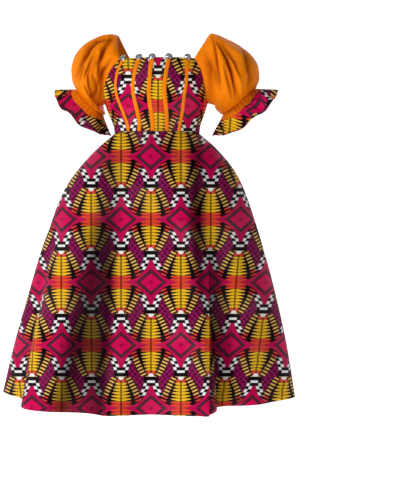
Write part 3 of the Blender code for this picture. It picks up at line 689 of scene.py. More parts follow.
def puff(name, side):
    """A puff sleeve's plain surface: u is the turn, and v is 0 at the armhole and 1 at the first ring."""
    rings = SLEEVE_RINGS[name]

    def surface(turn, v):
        turn, v = np.broadcast_arrays(np.asarray(turn, float), np.asarray(v, float))
        out = ring_point(ring_at(rings, np.maximum(v, 1), 1), turn)
        near = np.clip(v, 0, 1)[..., None]
        hole = armhole(turn, side)
        first, second = (ring_point(ring_at(rings, at, 1), turn) for at in (1, 1.1))
        bow = ((second - first) * 10 - (first - hole)) * LEAVING_BOW
        return posed(np.where(near < 1, hole * (1 - near) + out * near - bow * near * (1 - near), out))

    return surface


def puff_normals(surface, turn, v, side):
    """The way the gathers stand out. Near the armhole it turns square to the cloth that leaves the seam."""
    normals = normals_of(surface, turn, np.maximum(v, SQUARE_UNTIL)) * side
    leaving = unit(surface(turn, np.ones_like(v)) - surface(turn, np.zeros_like(v)))
    square = unit(normals - leaving * np.sum(normals * leaving, axis=-1, keepdims=True))
    share = np.clip(v / SQUARE_UNTIL, 0, 1)[..., None]
    return unit(square * (1 - share) + normals * share)


def gathers(name, points, turn, v, last):
    """How far the gathers of a sleeve stand out of its plain surface."""
    around = np.linalg.norm(np.roll(points, -1, axis=1) - points, axis=-1).sum(axis=1, keepdims=True) / 360
    stand = np.zeros(turn.shape)
    for gather in SLEEVE_GATHERS[name]:
        t = (v - gather["start"]) / (gather["end"] - gather["start"])
        middle = gather["turn"] + (gather["end_turn"] - gather["turn"]) * t
        width = gather["width"] * (GATHER_WIDTHS[0] + GATHER_WIDTHS[1] * np.clip(t, 0, 1))
        away = wrapped(turn - middle) * around / width
        fade = np.sin(np.pi * np.clip(t, 0, 1) ** 0.8)
        beside = (np.exp(-((away + at) ** 2)) for at in (-GATHER_RIDGE["away"], GATHER_RIDGE["away"]))
        ridge = GATHER_RIDGE["share"] * sum(beside)
        stand += gather["out"] * (np.exp(-away * away) - ridge) * fade
    for kind, at in ((ELASTIC_GATHERS, last - v), (SEAM_GATHERS, v)):
        swing = np.sin(np.radians(turn * kind["count"]) + kind["drift"] * np.sin(np.radians(turn * 3)))
        uneven = UNEVEN[0] + UNEVEN[1] * np.sin(np.radians(turn * 5) + kind["drift"])
        # The gathers fade at the very underside
        under = np.clip(1.15 + np.cos(np.radians(turn)), 0, 1)
        near = np.clip(at / kind["reach"], 0, 1)
        stand += kind["out"] * swing * uneven * under * (1 - near) ** 2 * np.clip(at / 0.5, 0, 1)
    return stand


def cuff_surface(name, rings):
    """The surface of a part of a cuff: u is the turn in degrees and v runs over its rings, down the arm."""
    last = SLEEVE_RINGS[name][-1]
    top = np.array((last["top_x"], 0, last["top_z"]))
    low = np.array((last["low_x"], 0, last["low_z"]))
    up = unit(top - low)
    down_arm = np.cross(up, (0, 1, 0))
    if down_arm[2] > 0:
        down_arm = -down_arm

    def surface(turn, v):
        turn, v = np.broadcast_arrays(np.asarray(turn, float), np.asarray(v, float))
        ring = ring_at(rings, v)
        radians = np.radians(turn)
        rise, forward = np.cos(radians), np.sin(radians)
        at_top = rise > 0
        end_down = np.where(at_top, ring["top_down"], ring["foot_down"])
        end_out = np.where(at_top, ring["top_out"], ring["foot_out"])
        swing = ring["wave"] * np.cos(radians * FRILL_WAVES["count"] + FRILL_WAVES["uneven"] * forward)
        reach = ring["front_down"] + (end_down - ring["front_down"]) * np.abs(rise) ** CUFF_SQUARENESS
        wide = up * (end_out * rise)[..., None]
        deep = points_of(0, -ring["front_out"] * forward, 0)
        radial = up * rise[..., None] + points_of(0, -forward, 0)
        fine = np.cos(radians * FRILL_GATHERS["count"] + FRILL_GATHERS["drift"] * np.sin(radians * 4))
        stand = FRILL_WAVES["out"] * swing + FRILL_GATHERS["out"] * fine * np.clip(ring["wave"] * 3, 0, 1)
        down = down_arm * (reach - FRILL_WAVES["along"] * swing)[..., None]
        return posed(ring_point(last, turn) + wide + deep + radial * stand[..., None] + down)

    return surface


# Meshes


def placed(name, data):
    """A new object in the scene."""
    made = bpy.data.objects.new(name, data)
    bpy.context.collection.objects.link(made)
    return made


def grid(name, rows, places=None, closed=False, shut=False, flip=False):
    """A sheet through rows of points, with its print's places in metres as its UV map. A closed sheet is a
    tube, and a shut one has a blind end."""
    rows = np.asarray(rows, float)
    down, around = rows.shape[:2]
    index = np.arange(down * around).reshape(down, around)
    if closed:
        index = np.concatenate([index, index[:, :1]], axis=1)
    if places is None:
        places = np.zeros((down, index.shape[1], 2))
    quads, corners = [], []
    for j in range(down - 1):
        for k in range(index.shape[1] - 1):
            ring = [(j, k), (j, k + 1), (j + 1, k + 1), (j + 1, k)]
            ring = ring[::-1] if flip else ring
            quads.append([int(index[at]) for at in ring])
            corners.extend(places[at] for at in ring)
    if shut:
        end = [(down - 1, k) for k in range(around)]
        end = end[::-1] if flip else end
        quads.append([int(index[at]) for at in end])
        corners.extend(places[at] for at in end)
    mesh = bpy.data.meshes.new(name)
    mesh.from_pydata([tuple(point) for point in rows.reshape(-1, 3)], [], quads)
    layer = mesh.uv_layers.new(name="print")
    layer.data.foreach_set("uv", np.array(corners, np.float32).ravel())
    mesh.shade_smooth()
    return placed(name, mesh)


def thickened(made, thickness=CLOTH):
    """Gives a sheet its thickness, inwards."""
    wall = made.modifiers.new("thickness", "SOLIDIFY")
    wall.thickness = thickness
    wall.offset = -1
    return made


def mark_painted_shade(made, deep):
    """Stores how much shade is painted on each point of a sheet, from 0 to 1."""
    trough = made.data.attributes.new("trough", "FLOAT", "POINT")
    trough.data.foreach_set("value", deep.ravel().astype(np.float32))


def steps_between(first, last, count):
    return np.linspace(first, last, count + 1)


def turns_around(count, first=0):
    """Turns round a tube, without the last one, which is the first one again."""
    return (np.linspace(0, 360, count, endpoint=False) + first)[None, :]


def upright_places(points, middle, diamond, behind=False):
    """Places on the print for rows of points, so that it lies upright and at one scale as seen from the
    front, or from behind, and doesn't smear where the cloth turns away. Middle is the column to start at."""
    away = points[..., 1] * (-1 if behind else 1)
    scale = VIEW_DISTANCE / (VIEW_DISTANCE + away)
    sign = -1 if behind else 1
    x = (points[..., 0] * sign - VIEW_CENTRE["x"] * sign) * scale
    z = (points[..., 2] - VIEW_CENTRE["z"]) * scale
    spread = np.linalg.norm(np.diff(points, axis=1), axis=-1) * scale[:, 1:]
    step = np.diff(x, axis=1)
    turn = np.sign(x[:, -1:] - x[:, :1])
    step = turn * np.maximum(step * turn, spread * LEAST_SPREAD)
    u = np.concatenate([np.zeros((len(x), 1)), np.cumsum(step, axis=1)], axis=1)
    u += x[:, middle : middle + 1] - u[:, middle : middle + 1]
    return np.stack([u - diamond["x"], z - diamond["z"]], axis=-1)


def nearest_column(values, at):
    return int(np.argmin(np.abs(np.asarray(values) - at)))


# Materials


def made_once(kind, name):
    """Makes a material or a node group only the first time that it is asked for."""

    def keeper(make):
        def kept(*given):
            return getattr(bpy.data, kind).get(name) or make(name, *given)

        return kept

    return keeper


class Field:
    """A value that changes over a surface: the output of a node, which sums can be done with."""

    def __init__(self, tree, socket):
        self.tree = tree
        self.socket = socket

    def maths(self, operation, *others, clamp=False):
        node = self.tree.nodes.new("ShaderNodeMath")
        node.operation = operation
        node.use_clamp = clamp
        for slot, value in enumerate((self, *others)):
            feed(self.tree, value, node.inputs[slot])
        return Field(self.tree, node.outputs[0])

    def __add__(self, other):
        return self.maths("ADD", other)

    def __sub__(self, other):
        return self.maths("SUBTRACT", other)

    def __mul__(self, other):
        return self.maths("MULTIPLY", other)

    def __rsub__(self, other):
        return self.maths("MULTIPLY_ADD", -1.0, other)

    def __abs__(self):
        return self.maths("ABSOLUTE")

    def most(self, other):
        return self.maths("MAXIMUM", other)

    def below(self, edge, soft=0.6):
        """1 where the value is less than the edge, with a soft border."""
        return (edge - self).maths("MULTIPLY_ADD", 1 / soft, 0.5, clamp=True)

    def above(self, edge, soft=0.6):
        return (self - edge).maths("MULTIPLY_ADD", 1 / soft, 0.5, clamp=True)

    def wave(self, period, shift=0.0):
        """Swings between -1 and 1."""
        turn = 2 * math.pi / period
        return self.maths("MULTIPLY_ADD", turn, shift * 2 * math.pi).maths("COSINE")


def feed(tree, value, socket):
    """Puts a field or a plain value into a socket."""
    if isinstance(value, Field):
        tree.links.new(value.socket, socket)
    else:
        socket.default_value = value


def mixed(tree, share, under, over):
    """A colour over another, by a share from 0 to 1."""
    node = tree.nodes.new("ShaderNodeMix")
    node.data_type = "RGBA"
    for slot, value in ((0, share), (6, under), (7, over)):
        feed(tree, value, node.inputs[slot])
    return Field(tree, node.outputs[2])


def parted(tree, vector):
    """The x, y and z of a vector."""
    node = tree.nodes.new("ShaderNodeSeparateXYZ")
    tree.links.new(vector.socket, node.inputs[0])
    return [Field(tree, output) for output in node.outputs]


def new_group(name, inputs, outputs):
    """A node group with named inputs and outputs, as (name, kind, default)."""
    tree = bpy.data.node_groups.new(name, "ShaderNodeTree")
    for label, kind, default in inputs:
        socket = tree.interface.new_socket(label, in_out="INPUT", socket_type=kind)
        if default is not None:
            socket.default_value = default
    for label, kind in outputs:
        tree.interface.new_socket(label, in_out="OUTPUT", socket_type=kind)
    source = tree.nodes.new("NodeGroupInput")
    result = tree.nodes.new("NodeGroupOutput")
    return tree, {s.name: Field(tree, s) for s in source.outputs if s.name}, result


@made_once("node_groups", "wax_print")
def wax_print_group(name, settings):
    """The wax print: diamonds in a half-drop repeat, with checked chevrons above and below them and leafy
    fans between them. A unit of the drawing is about a sixtieth of the repeat's width."""
    names = ("magenta", "rose", "purple", "gold", "cream", "orange", "white", "dark", "maroon")
    across, above = settings.repeat_width / PRINT_UNITS, settings.repeat_height / settings.repeat_width
    tree, given, result = new_group(
        name,
        [("Vector", "NodeSocketVector", None), ("Unit", "NodeSocketFloat", across)]
        + [(name.title(), "NodeSocketColor", (*getattr(settings, name), 1)) for name in names],
        [("Color", "NodeSocketColor"), ("Ink", "NodeSocketFloat")],
    )
    ink = {name: given[name.title()] for name in names}
    across, up, _ = (part.maths("DIVIDE", given["Unit"]) for part in parted(tree, given["Vector"]))

    # Folds the repeat into a quarter, with a diamond at (0, 0) and a fan's middle at (fan, 0)
    fan, rise = PRINT_UNITS / 2, above * PRINT_UNITS / 2
    x = across.maths("PINGPONG", fan)
    y = up.maths("PINGPONG", rise)
    upper = y.maths("GREATER_THAN", rise / 2)
    x = x + upper * (fan - x * 2.0)
    y = y + upper * (rise - y * 2.0)
    f = fan - x

    # Checks between the fans
    checks = (x.wave(5.6) * y.wave(5.8)).above(0.0, 0.7)
    drawn = mixed(tree, checks, mixed(tree, 0.12, ink["maroon"], ink["rose"]), ink["purple"])

    # The fan's outer petals, in a bowed row on black
    leaf = f + y * 0.14 + y * y * 0.0085
    drawn = mixed(tree, leaf.below(22.9), drawn, ink["dark"])
    dashes = (y - f * 0.45).wave(3.73, 0.027).above(0.12, 0.7)
    dashes = dashes * leaf.above(15.9, 1.2) * leaf.below(21.9, 1.0) * y.above(6.0, 1.5)
    petal = mixed(tree, y.below(12.4, 1.5), ink["cream"], mixed(tree, 0.25, ink["orange"], ink["rose"]))
    drawn = mixed(tree, dashes, drawn, petal)

    # Its bars, which end in points, with fine lines between them
    reach = 10.6 - y * y * 0.0082
    rib = (y - f * 0.11).wave(3.2, 0.5)
    along = f.maths("DIVIDE", reach)
    warm = y.below(6.4, 0.8).most(y.above(25.6, 1.0))
    red = mixed(tree, 0.7, ink["orange"], ink["rose"])
    between = mixed(tree, f.below(4.6, 2.6) * 0.32, ink["dark"], ink["gold"])
    between = mixed(tree, warm * f.below(9.0, 2.5) * 0.8, between, red)
    bars = rib.above(along.maths("POWER", 1.9) * 1.45 - 0.66, 0.6)
    shaft = mixed(tree, along.above(0.72, 0.25) * 0.8, ink["gold"], ink["cream"])
    shaft = mixed(tree, warm, shaft, ink["orange"])
    shaft = mixed(tree, bars, between, shaft)
    drawn = mixed(tree, f.below(reach, 0.6), drawn, shaft)
    spine = f.below(0.9, 0.5) * y.wave(1.6).above(-0.8, 0.9)
    drawn = mixed(tree, spine * 0.95, drawn, ink["dark"])

    # Chevrons of two rows of checks, and the striped body that they meet in
    arm = x + y * 1.064 - y * y * 0.0174
    drawn = mixed(tree, arm.above(16.6) * arm.below(23.3) * y.above(12.2), drawn, ink["dark"])
    inner = y.wave(6.2, -0.29).above(0.0, 0.7) * arm.above(16.8, 0.4) * arm.below(19.8, 0.4)
    outer = y.wave(6.2, -0.79).above(0.0, 0.7) * arm.above(19.8, 0.4) * arm.below(22.9, 0.4)
    whites = inner.most(outer) * y.above(12.3) * y.below(24.9)
    drawn = mixed(tree, whites, drawn, ink["white"])
    drawn = mixed(tree, arm.below(16.6) * y.above(22.0), drawn, ink["dark"])
    drawn = mixed(tree, x.below(4.2) * y.above(24.4), drawn, ink["dark"])
    stripe = y.above(25.3, 0.5) * y.below(27.6, 0.5) * x.below(3.8, 0.5)
    drawn = mixed(tree, stripe, drawn, ink["white"])
    drop = rise / 2 - y
    dot = (f * f * 0.119 + drop * drop * 0.082).below(1.0, 0.3)
    drawn = mixed(tree, dot, drawn, ink["white"])

    # The star around the diamond, its frames and the diamond
    points = (x + 6.0) * (y + 6.0)
    star = points.below(213.0, 12.0) * y.below(22.0) * f.above(7.5) * arm.below(17.0).most(y.below(12.3))
    drawn = mixed(tree, star, drawn, ink["rose"])
    drawn = mixed(tree, points.above(160.0, 60.0) * star * 0.5, drawn, ink["magenta"])
    diamond = x + y * 1.16
    for edge, name, share in (
        (15.2, "maroon", 0.95),
        (13.5, "white", 0.12),
        (13.0, "maroon", 0.95),
        (11.0, "magenta", 1.0),
        (2.6, "maroon", 0.45),
    ):
        drawn = mixed(tree, diamond.below(edge, 0.6) * share, drawn, ink[name])

    tree.links.new(drawn.socket, result.inputs["Color"])
    tree.links.new(dashes.most(bars).most(star).socket, result.inputs["Ink"])
    return tree


@made_once("node_groups", "plain_weave")
def weave_group(name):
    """A plain weave with slubs and soft rumples, as a height."""
    tree, given, result = new_group(
        name,
        [
            ("Vector", "NodeSocketVector", None),
            ("Thread", "NodeSocketFloat", 0.0005),
            ("Rumple", "NodeSocketFloat", 0.5),
        ],
        [("Height", "NodeSocketFloat"), ("Slub", "NodeSocketFloat")],
    )
    warp, weft, _ = (part.maths("DIVIDE", given["Thread"]) for part in parted(tree, given["Vector"]))
    threads = (warp * math.pi).maths("SINE") * (weft * math.pi).maths("SINE")
    slubs = noise(tree, given["Vector"], 420.0, 3)
    rumples = noise(tree, given["Vector"], 38.0, 3)
    height = threads * 0.10 + slubs * 0.35 + rumples * given["Rumple"]
    tree.links.new(height.socket, result.inputs["Height"])
    tree.links.new(slubs.socket, result.inputs["Slub"])
    return tree


def noise(tree, vector, scale, detail):
    node = tree.nodes.new("ShaderNodeTexNoise")
    node.inputs["Scale"].default_value = scale
    node.inputs["Detail"].default_value = detail
    tree.links.new(vector.socket, node.inputs["Vector"])
    return Field(tree, node.outputs["Fac"])


def new_material(name, roughness, metallic=0.0):
    made = bpy.data.materials.new(name)
    made.use_nodes = True
    tree = made.node_tree
    shader = tree.nodes["Principled BSDF"]
    shader.inputs["Roughness"].default_value = roughness
    shader.inputs["Metallic"].default_value = metallic
    return made, tree, shader


def placed_group(tree, group, vector):
    node = tree.nodes.new("ShaderNodeGroup")
    node.node_tree = group
    tree.links.new(vector.socket, node.inputs["Vector"])
    return node


def cloth_material(name, rumple, relief):
    """The start of a matt cloth: its places on the print, and its weave as a relief this high."""
    made, tree, shader = new_material(name, 0.6)
    cloth = tree.nodes.new("ShaderNodeUVMap")
    cloth.uv_map = "print"
    vector = Field(tree, cloth.outputs[0])
    weave = placed_group(tree, weave_group(), vector)
    weave.inputs["Rumple"].default_value = rumple
    bump = tree.nodes.new("ShaderNodeBump")
    bump.inputs["Distance"].default_value = relief
    bump.inputs["Strength"].default_value = 0.5
    tree.links.new(weave.outputs["Height"], bump.inputs["Height"])
    tree.links.new(bump.outputs[0], shader.inputs["Normal"])
    shader.inputs["Specular IOR Level"].default_value = CLOTH_SHINE
    return made, tree, shader, vector, weave


def solid_material(name, roughness, metallic=0.0):
    """The start of a material whose grain goes by places in the piece."""
    made, tree, shader = new_material(name, roughness, metallic)
    place = tree.nodes.new("ShaderNodeTexCoord")
    return made, tree, shader, Field(tree, place.outputs["Object"])


def painted_shade_amount(tree):
    """How much shade is painted on a point of the cloth, from 0 to 1."""
    trough = tree.nodes.new("ShaderNodeAttribute")
    trough.attribute_name = "trough"
    return Field(tree, trough.outputs["Fac"])


@made_once("materials", "wax_print_cotton")
def print_material(name, settings):
    """Wax printed cotton: crisp and a little glazed, with fine crackle in its colours, and shade painted into
    its folds and creases.
    """
    made, tree, shader, vector, _ = cloth_material(name, 0.55, 0.0012)
    pattern = placed_group(tree, wax_print_group(settings), vector)
    crackle = abs(noise(tree, vector, 55.0, 4) - 0.5).below(0.006, 0.012)
    fade = noise(tree, vector, 9.0, 2)
    colours = Field(tree, pattern.outputs["Color"])
    for share, over in (
        (crackle * 0.18, (0.02, 0.004, 0.01, 1)),
        (fade.above(0.62, 0.3) * 0.03, (0.9, 0.75, 0.6, 1)),
        # Painted shade: the print darkens towards near black by the shade stored on the cloth
        (painted_shade_amount(tree) * 0.84, (0.004, 0.0, 0.002, 1)),
    ):
        colours = mixed(tree, share, colours, over)
    feed(tree, colours, shader.inputs["Base Color"])
    feed(tree, Field(tree, pattern.outputs["Ink"]) * -0.08 + 0.66, shader.inputs["Roughness"])
    return made


@made_once("materials", "orange_cotton_satin")
def plain_material(name, settings):
    """Plain cotton satin: smooth, with a soft sheen, and with shade painted into its colour between its
    gathers and in its creases.
    """
    made, tree, shader, vector, weave = cloth_material(name, 0.8, 0.0014)
    streaks = noise(tree, vector, 60.0, 3)
    # Painted shade from the cloth's stored shade, made uneven by random streaks
    share = (painted_shade_amount(tree) + (streaks - 0.5) * 0.25).maths("MULTIPLY", 1.0, clamp=True)
    colours = mixed(tree, share, (*settings.sleeve_colour, 1), (*settings.painted_shade_colour, 1))
    feed(tree, colours, shader.inputs["Base Color"])
    feed(tree, Field(tree, weave.outputs["Slub"]) * 0.16 + 0.46, shader.inputs["Roughness"])
    return made


@made_once("materials", "rose_thread")
def thread_material(name, settings):
    """Sewing thread in the colour of the print's ground."""
    made, tree, shader, vector = solid_material(name, 0.6)
    twist = noise(tree, vector, 2500.0, 1)
    feed(tree, mixed(tree, twist, (*settings.rose, 1), (*settings.magenta, 1)), shader.inputs["Base Color"])
    return made


@made_once("materials", "silver_metal")
def metal_material(name, settings):
    """Bright silver metal with a little wear."""
    made, tree, shader, vector = solid_material(name, 0.22, metallic=1.0)
    wear = noise(tree, vector, 900.0, 3)
    colours = mixed(tree, wear.above(0.5, 0.5), (*settings.metal_colour, 1), (0.12, 0.12, 0.13, 1))
    feed(tree, colours, shader.inputs["Base Color"])
    feed(tree, wear * 0.25 + 0.14, shader.inputs["Roughness"])
    return made


@made_once("materials", "clear_cut_stone")
def stone_material(name, settings):
    """Clear cut glass over foil, with the facets' sparkle painted in as random dark patches."""
    made, tree, shader, vector = solid_material(name, 0.06, metallic=0.55)
    # Painted reflection: random dark patches stand in for the sparkle of the facets
    painted_sparkle = noise(tree, vector, 420.0, 1)
    colours = mixed(tree, painted_sparkle.above(0.52, 0.3), (*settings.stone_colour, 1), (0.10, 0.10, 0.13, 1))
    feed(tree, colours, shader.inputs["Base Color"])
    shader.inputs["Coat Weight"].default_value = 1.0
    return made


def dressed(made, material, slot, *nodes):
    """Gives a piece its material, hangs it from the root, and hides the parts of the frame that it stands in
    for.
    """
    made.data.materials.clear()
    made.data.materials.append(material)
    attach(made, "root")
    if nodes:
        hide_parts(*nodes)
    return made


# Pieces


def printed_panel(context, name, surface, place, kind, middle, behind):
    """A creased panel of printed cloth, whose print starts from a middle column, and its points."""
    points, deep = creased(surface(*place), normals_of(surface, *place), kind)
    places = upright_places(points, middle, DIAMOND_AT[kind], behind)
    made = thickened(grid(name + "_cloth", points, places))
    # The creases' painted shade
    mark_painted_shade(made, deep)
    dressed(made, print_material(context.scene.dress_print), "wax_print", name)
    return made, points


class DRESS_OT_bodice(bpy.types.Operator):
    """Make the front and the two backs of the fitted bodice"""

    bl_idname = "dress.bodice"
    bl_label = "Bodice"

    def execute(self, context):
        turns = steps_between(ARMHOLE_SEAM[0]["turn"], 180, ARMHOLE_STEPS)
        gap = math.degrees(SEAM_GAP / 2 / float(column(BODICE_SECTIONS, "front", ARMHOLE_SEAM[-1]["z"])))
        front, back = {}, {}
        for side in (-1, 1):
            for store, behind, end in ((front, False, 90 - gap), (back, True, 90 + gap)):
                angles, tops = seam_place(turns, side, behind)
                angles[-1] = side * end
                store[side] = (angles, tops)
        across = STEPS["bodice_front"][0]
        middle = steps_between(front[-1][0][0], front[1][0][0], across - 2 * ARMHOLE_STEPS)[1:-1]
        angles = np.concatenate([front[-1][0][::-1], middle, front[1][0]])
        tops = np.concatenate([front[-1][1][::-1], np.full(middle.shape, NECK_Z), front[1][1]])
        start = nearest_column(angles, 0)
        self.panel(context, "bodice_front", angles, tops, start, False, (0.40, 0.31), 0.086)
        for side, name in ((-1, "bodice_back_right"), (1, "bodice_back_left")):
            across = STEPS["bodice_back"][0]
            middle = steps_between(back[side][0][0], side * (180 - gap), across - ARMHOLE_STEPS)[1:]
            angles = np.concatenate([back[side][0][::-1], middle])
            tops = np.concatenate([back[side][1][::-1], np.full(middle.shape, BACK_NECK_Z)])
            if side < 0:
                angles, tops = angles[::-1], tops[::-1]
            at = 0 if side < 0 else len(angles) - 1
            self.panel(context, name, angles, tops, at, True, (0.21, 0.31), 0.048)
        return {"FINISHED"}

    def panel(self, context, name, angles, tops, middle, behind, flat, area):
        down = STEPS["bodice_front"][1]
        share = steps_between(0, 1, down)[:, None]
        z = WAIST_Z + (tops - WAIST_Z) * share
        place = (np.broadcast_to(angles, z.shape), z)
        made, _ = printed_panel(context, name, bodice_surface, place, "bodice", middle, behind)


class DRESS_OT_skirt(bpy.types.Operator):
    """Make the front and the two backs of the flared skirt"""

    bl_idname = "dress.skirt"
    bl_label = "Skirt"

    def execute(self, context):
        for name, first, last, kind, flat, area in (
            ("skirt_front", -90, 90, "skirt_front", (1.46, 1.02), 0.92),
            ("skirt_back_left", 90, 180, "skirt_back", (0.74, 1.02), 0.48),
            ("skirt_back_right", 180, 270, "skirt_back", (0.74, 1.02), 0.48),
        ):
            across, down = STEPS[kind]
            rows = steps_between(0, 1, down) ** SKIRT_ROW_POWER
            z = (HEM_Z + (WAIST_Z - SEAM_GAP - HEM_Z) * rows)[:, None]
            depth = column(SKIRT_SECTIONS, "front", z)
            ends = []
            for end, inward in ((first, 1), (last, -1)):
                gap = self.slit(z) if end in (-90, 90, 270) else SEAM_GAP / 2
                ends.append(end + inward * np.degrees(gap / depth))
            share = steps_between(0, 1, across)[None, :]
            angle = ends[0] + (ends[1] - ends[0]) * share
            place = (angle, np.broadcast_to(z, angle.shape))
            behind = kind == "skirt_back"
            middle = across // 2 if not behind else (across if first == 90 else 0)
            made, points = printed_panel(context, name, skirt, place, "skirt", middle, behind)
            self.stitches(context, name, points)
        return {"FINISHED"}

    def stitches(self, context, name, points):
        """The row of stitches that holds the hem."""
        height = points[:, :, 2] - points[:1, :, 2]
        row = int(np.argmin(np.abs(height.mean(axis=1) - STITCH["above_hem"])))
        places, along, at = evenly(points[row], STITCH["gap"])
        up = points[row + 1] - points[row - 1]
        up = line_at(up, np.arange(len(up)), at)
        outward = unit(np.cross(along, up))
        made = laid_boxes(name + "_stitches", places, along, outward, STITCH["size"])
        dressed(made, thread_material(context.scene.dress_print), "wax_print")

    def slit(self, z):
        """Half the gap of a side seam, which gapes at the pocket."""
        share = np.clip((POCKET["top"] - z) / (POCKET["top"] - POCKET["bottom"]), 0, 1)
        return SEAM_GAP / 2 + POCKET["half_gape"] * np.sin(np.pi * share) ** 0.8


class DRESS_OT_pockets(bpy.types.Operator):
    """Make the bags of the two side seam pockets"""

    bl_idname = "dress.pockets"
    bl_label = "Pockets"

    def execute(self, context):
        around, down = STEPS["pocket"]
        ring = ring_at(POCKET_RINGS, steps_between(0, len(POCKET_RINGS) - 1, down)[:, None])
        turn = np.radians(turns_around(around))
        middle, half_height = (ring["top"] + ring["bottom"]) / 2, (ring["top"] - ring["bottom"]) / 2
        depth = column(SKIRT_SECTIONS, "front", middle)
        front, back = (np.radians(ring[key]) * depth for key in ("front_angle", "back_angle"))
        front_in, back_in = ring["front_in"], ring["back_in"]
        length = np.hypot(back - front, back_in - front_in)
        grow = CAD_CLOTH / 2
        swing = np.copysign(np.abs(np.sin(turn)) ** 0.7, np.sin(turn))
        z = middle + (half_height + grow) * np.cos(turn)
        reach = (length / 2 + grow) * swing / length
        at = (front + back) / 2 + (back - front) * reach
        inside = (front_in + back_in) / 2 + (back_in - front_in) * reach
        for name, side in SIDES:
            name = "pocket_" + name
            angle = side * (90 - np.degrees(at / depth))
            points = skirt(angle, z) - normals_of(skirt, angle, z) * inside[..., None]
            places = np.stack([at + 0 * z, z + 0 * at], axis=-1)
            places = np.concatenate([places, places[:, :1]], axis=1)
            made = grid(name + "_bag", points, places, closed=True, shut=True, flip=side < 0)
            thickened(made)
            dressed(made, print_material(context.scene.dress_print), "wax_print", name)
        return {"FINISHED"}


class DRESS_OT_sleeves(bpy.types.Operator):
    """Make the two gathered puff sleeves"""

    bl_idname = "dress.sleeves"
    bl_label = "Puff Sleeves"

    def execute(self, context):
        around, down = STEPS["sleeve"]
        for name, side in SIDES:
            last = len(SLEEVE_RINGS[name])
            v = steps_between(0, last, down)[:, None]
            turn, v = np.broadcast_arrays(turns_around(around), v)
            plain = puff(name, side)
            points = plain(turn, v)
            stand = gathers(name, points, turn, v, last)
            normals = puff_normals(plain, turn, v, side)
            points = points + normals * stand[..., None]
            points, dark = creased(points, normals, "sleeve_" + name)
            run = np.concatenate([turn, turn[:, :1] + 360], axis=1) / 360 * SLEEVE_CLOTH["around"]
            places = np.stack([run, np.broadcast_to(v[:, :1] * SLEEVE_CLOTH["ring"], run.shape)], axis=-1)
            made = grid(f"sleeve_{name}_cloth", points, places, closed=True, flip=side < 0)
            # Painted shade: the gathers' hollows darken by their depth, and the creases by their painted
            # shade
            low = np.clip(-stand / TROUGH_PAINTED_SHADE["depth"], 0, 1) ** TROUGH_PAINTED_SHADE["power"]
            mark_painted_shade(made, np.maximum(low, dark))
            thickened(made)
            dressed(made, plain_material(context.scene.dress_plain), "plain_orange", "sleeve_" + name)
        return {"FINISHED"}


class DRESS_OT_cuffs(bpy.types.Operator):
    """Make the plain flares and the printed frills below the elastic"""

    bl_idname = "dress.cuffs"
    bl_label = "Cuffs"

    def execute(self, context):
        plain = plain_material(context.scene.dress_plain)
        print_cloth = print_material(context.scene.dress_print)
        for name, side in SIDES:
            for part, rings, material, slot, flat, area in (
                ("flare", FLARE_RINGS, plain, "plain_orange", (0.42, 0.030), 0.011),
                ("frill", FRILL_RINGS, print_cloth, "wax_print", (0.80, 0.070), 0.040),
            ):
                made = self.ring(part, name, side, rings)
                dressed(made, material, slot, f"cuff_{part}_{name}")
        return {"FINISHED"}

    def ring(self, part, name, side, rings):
        """One sheet of a cuff, as a tube."""
        around, down = STEPS[part]
        v = steps_between(0, len(rings) - 1, down)[:, None]
        # The tube's seam is at the underarm, and the print starts from the front
        turn, v = np.broadcast_arrays(turns_around(around, -180), v)
        points = cuff_surface(name, rings)(turn, v)
        places = self.places(points, turn, DIAMOND_AT["frill_" + name])
        made = grid(f"cuff_{part}_{name}_cloth", points, places, closed=True, flip=side < 0)
        # A flare gets painted shade, even and swinging with the elastic's gathers
        if part == "flare":
            even, swing = FLARE_PAINTED_SHADE
            mark_painted_shade(made, even + swing * np.cos(np.radians(turn * ELASTIC_GATHERS["count"])))
        return thickened(made)

    def places(self, points, turn, diamond):
        """Places on the print: upright at the front, and along the ring elsewhere."""
        joined = np.concatenate([points, points[:, :1]], axis=1)
        front = nearest_column(turn[0], 90)
        scale = VIEW_DISTANCE / (VIEW_DISTANCE + joined[..., 1])
        middle = (VIEW_CENTRE["x"], VIEW_CENTRE["z"])
        flat = (joined[..., (0, 2)] - middle) * scale[..., None]
        up = unit(flat[0, nearest_column(turn[0], 60)] - flat[0, nearest_column(turn[0], 120)])
        step = np.linalg.norm(np.diff(joined, axis=1), axis=-1)
        seen = np.abs(np.diff(flat, axis=1) @ up)
        step = np.maximum(seen, step * LEAST_SPREAD)
        run = np.concatenate([np.zeros((len(step), 1)), np.cumsum(step, axis=1)], axis=1)
        run = run[:, front : front + 1] - run
        return flat[:, front : front + 1] + run[..., None] * up - np.array((diamond["x"], diamond["z"]))


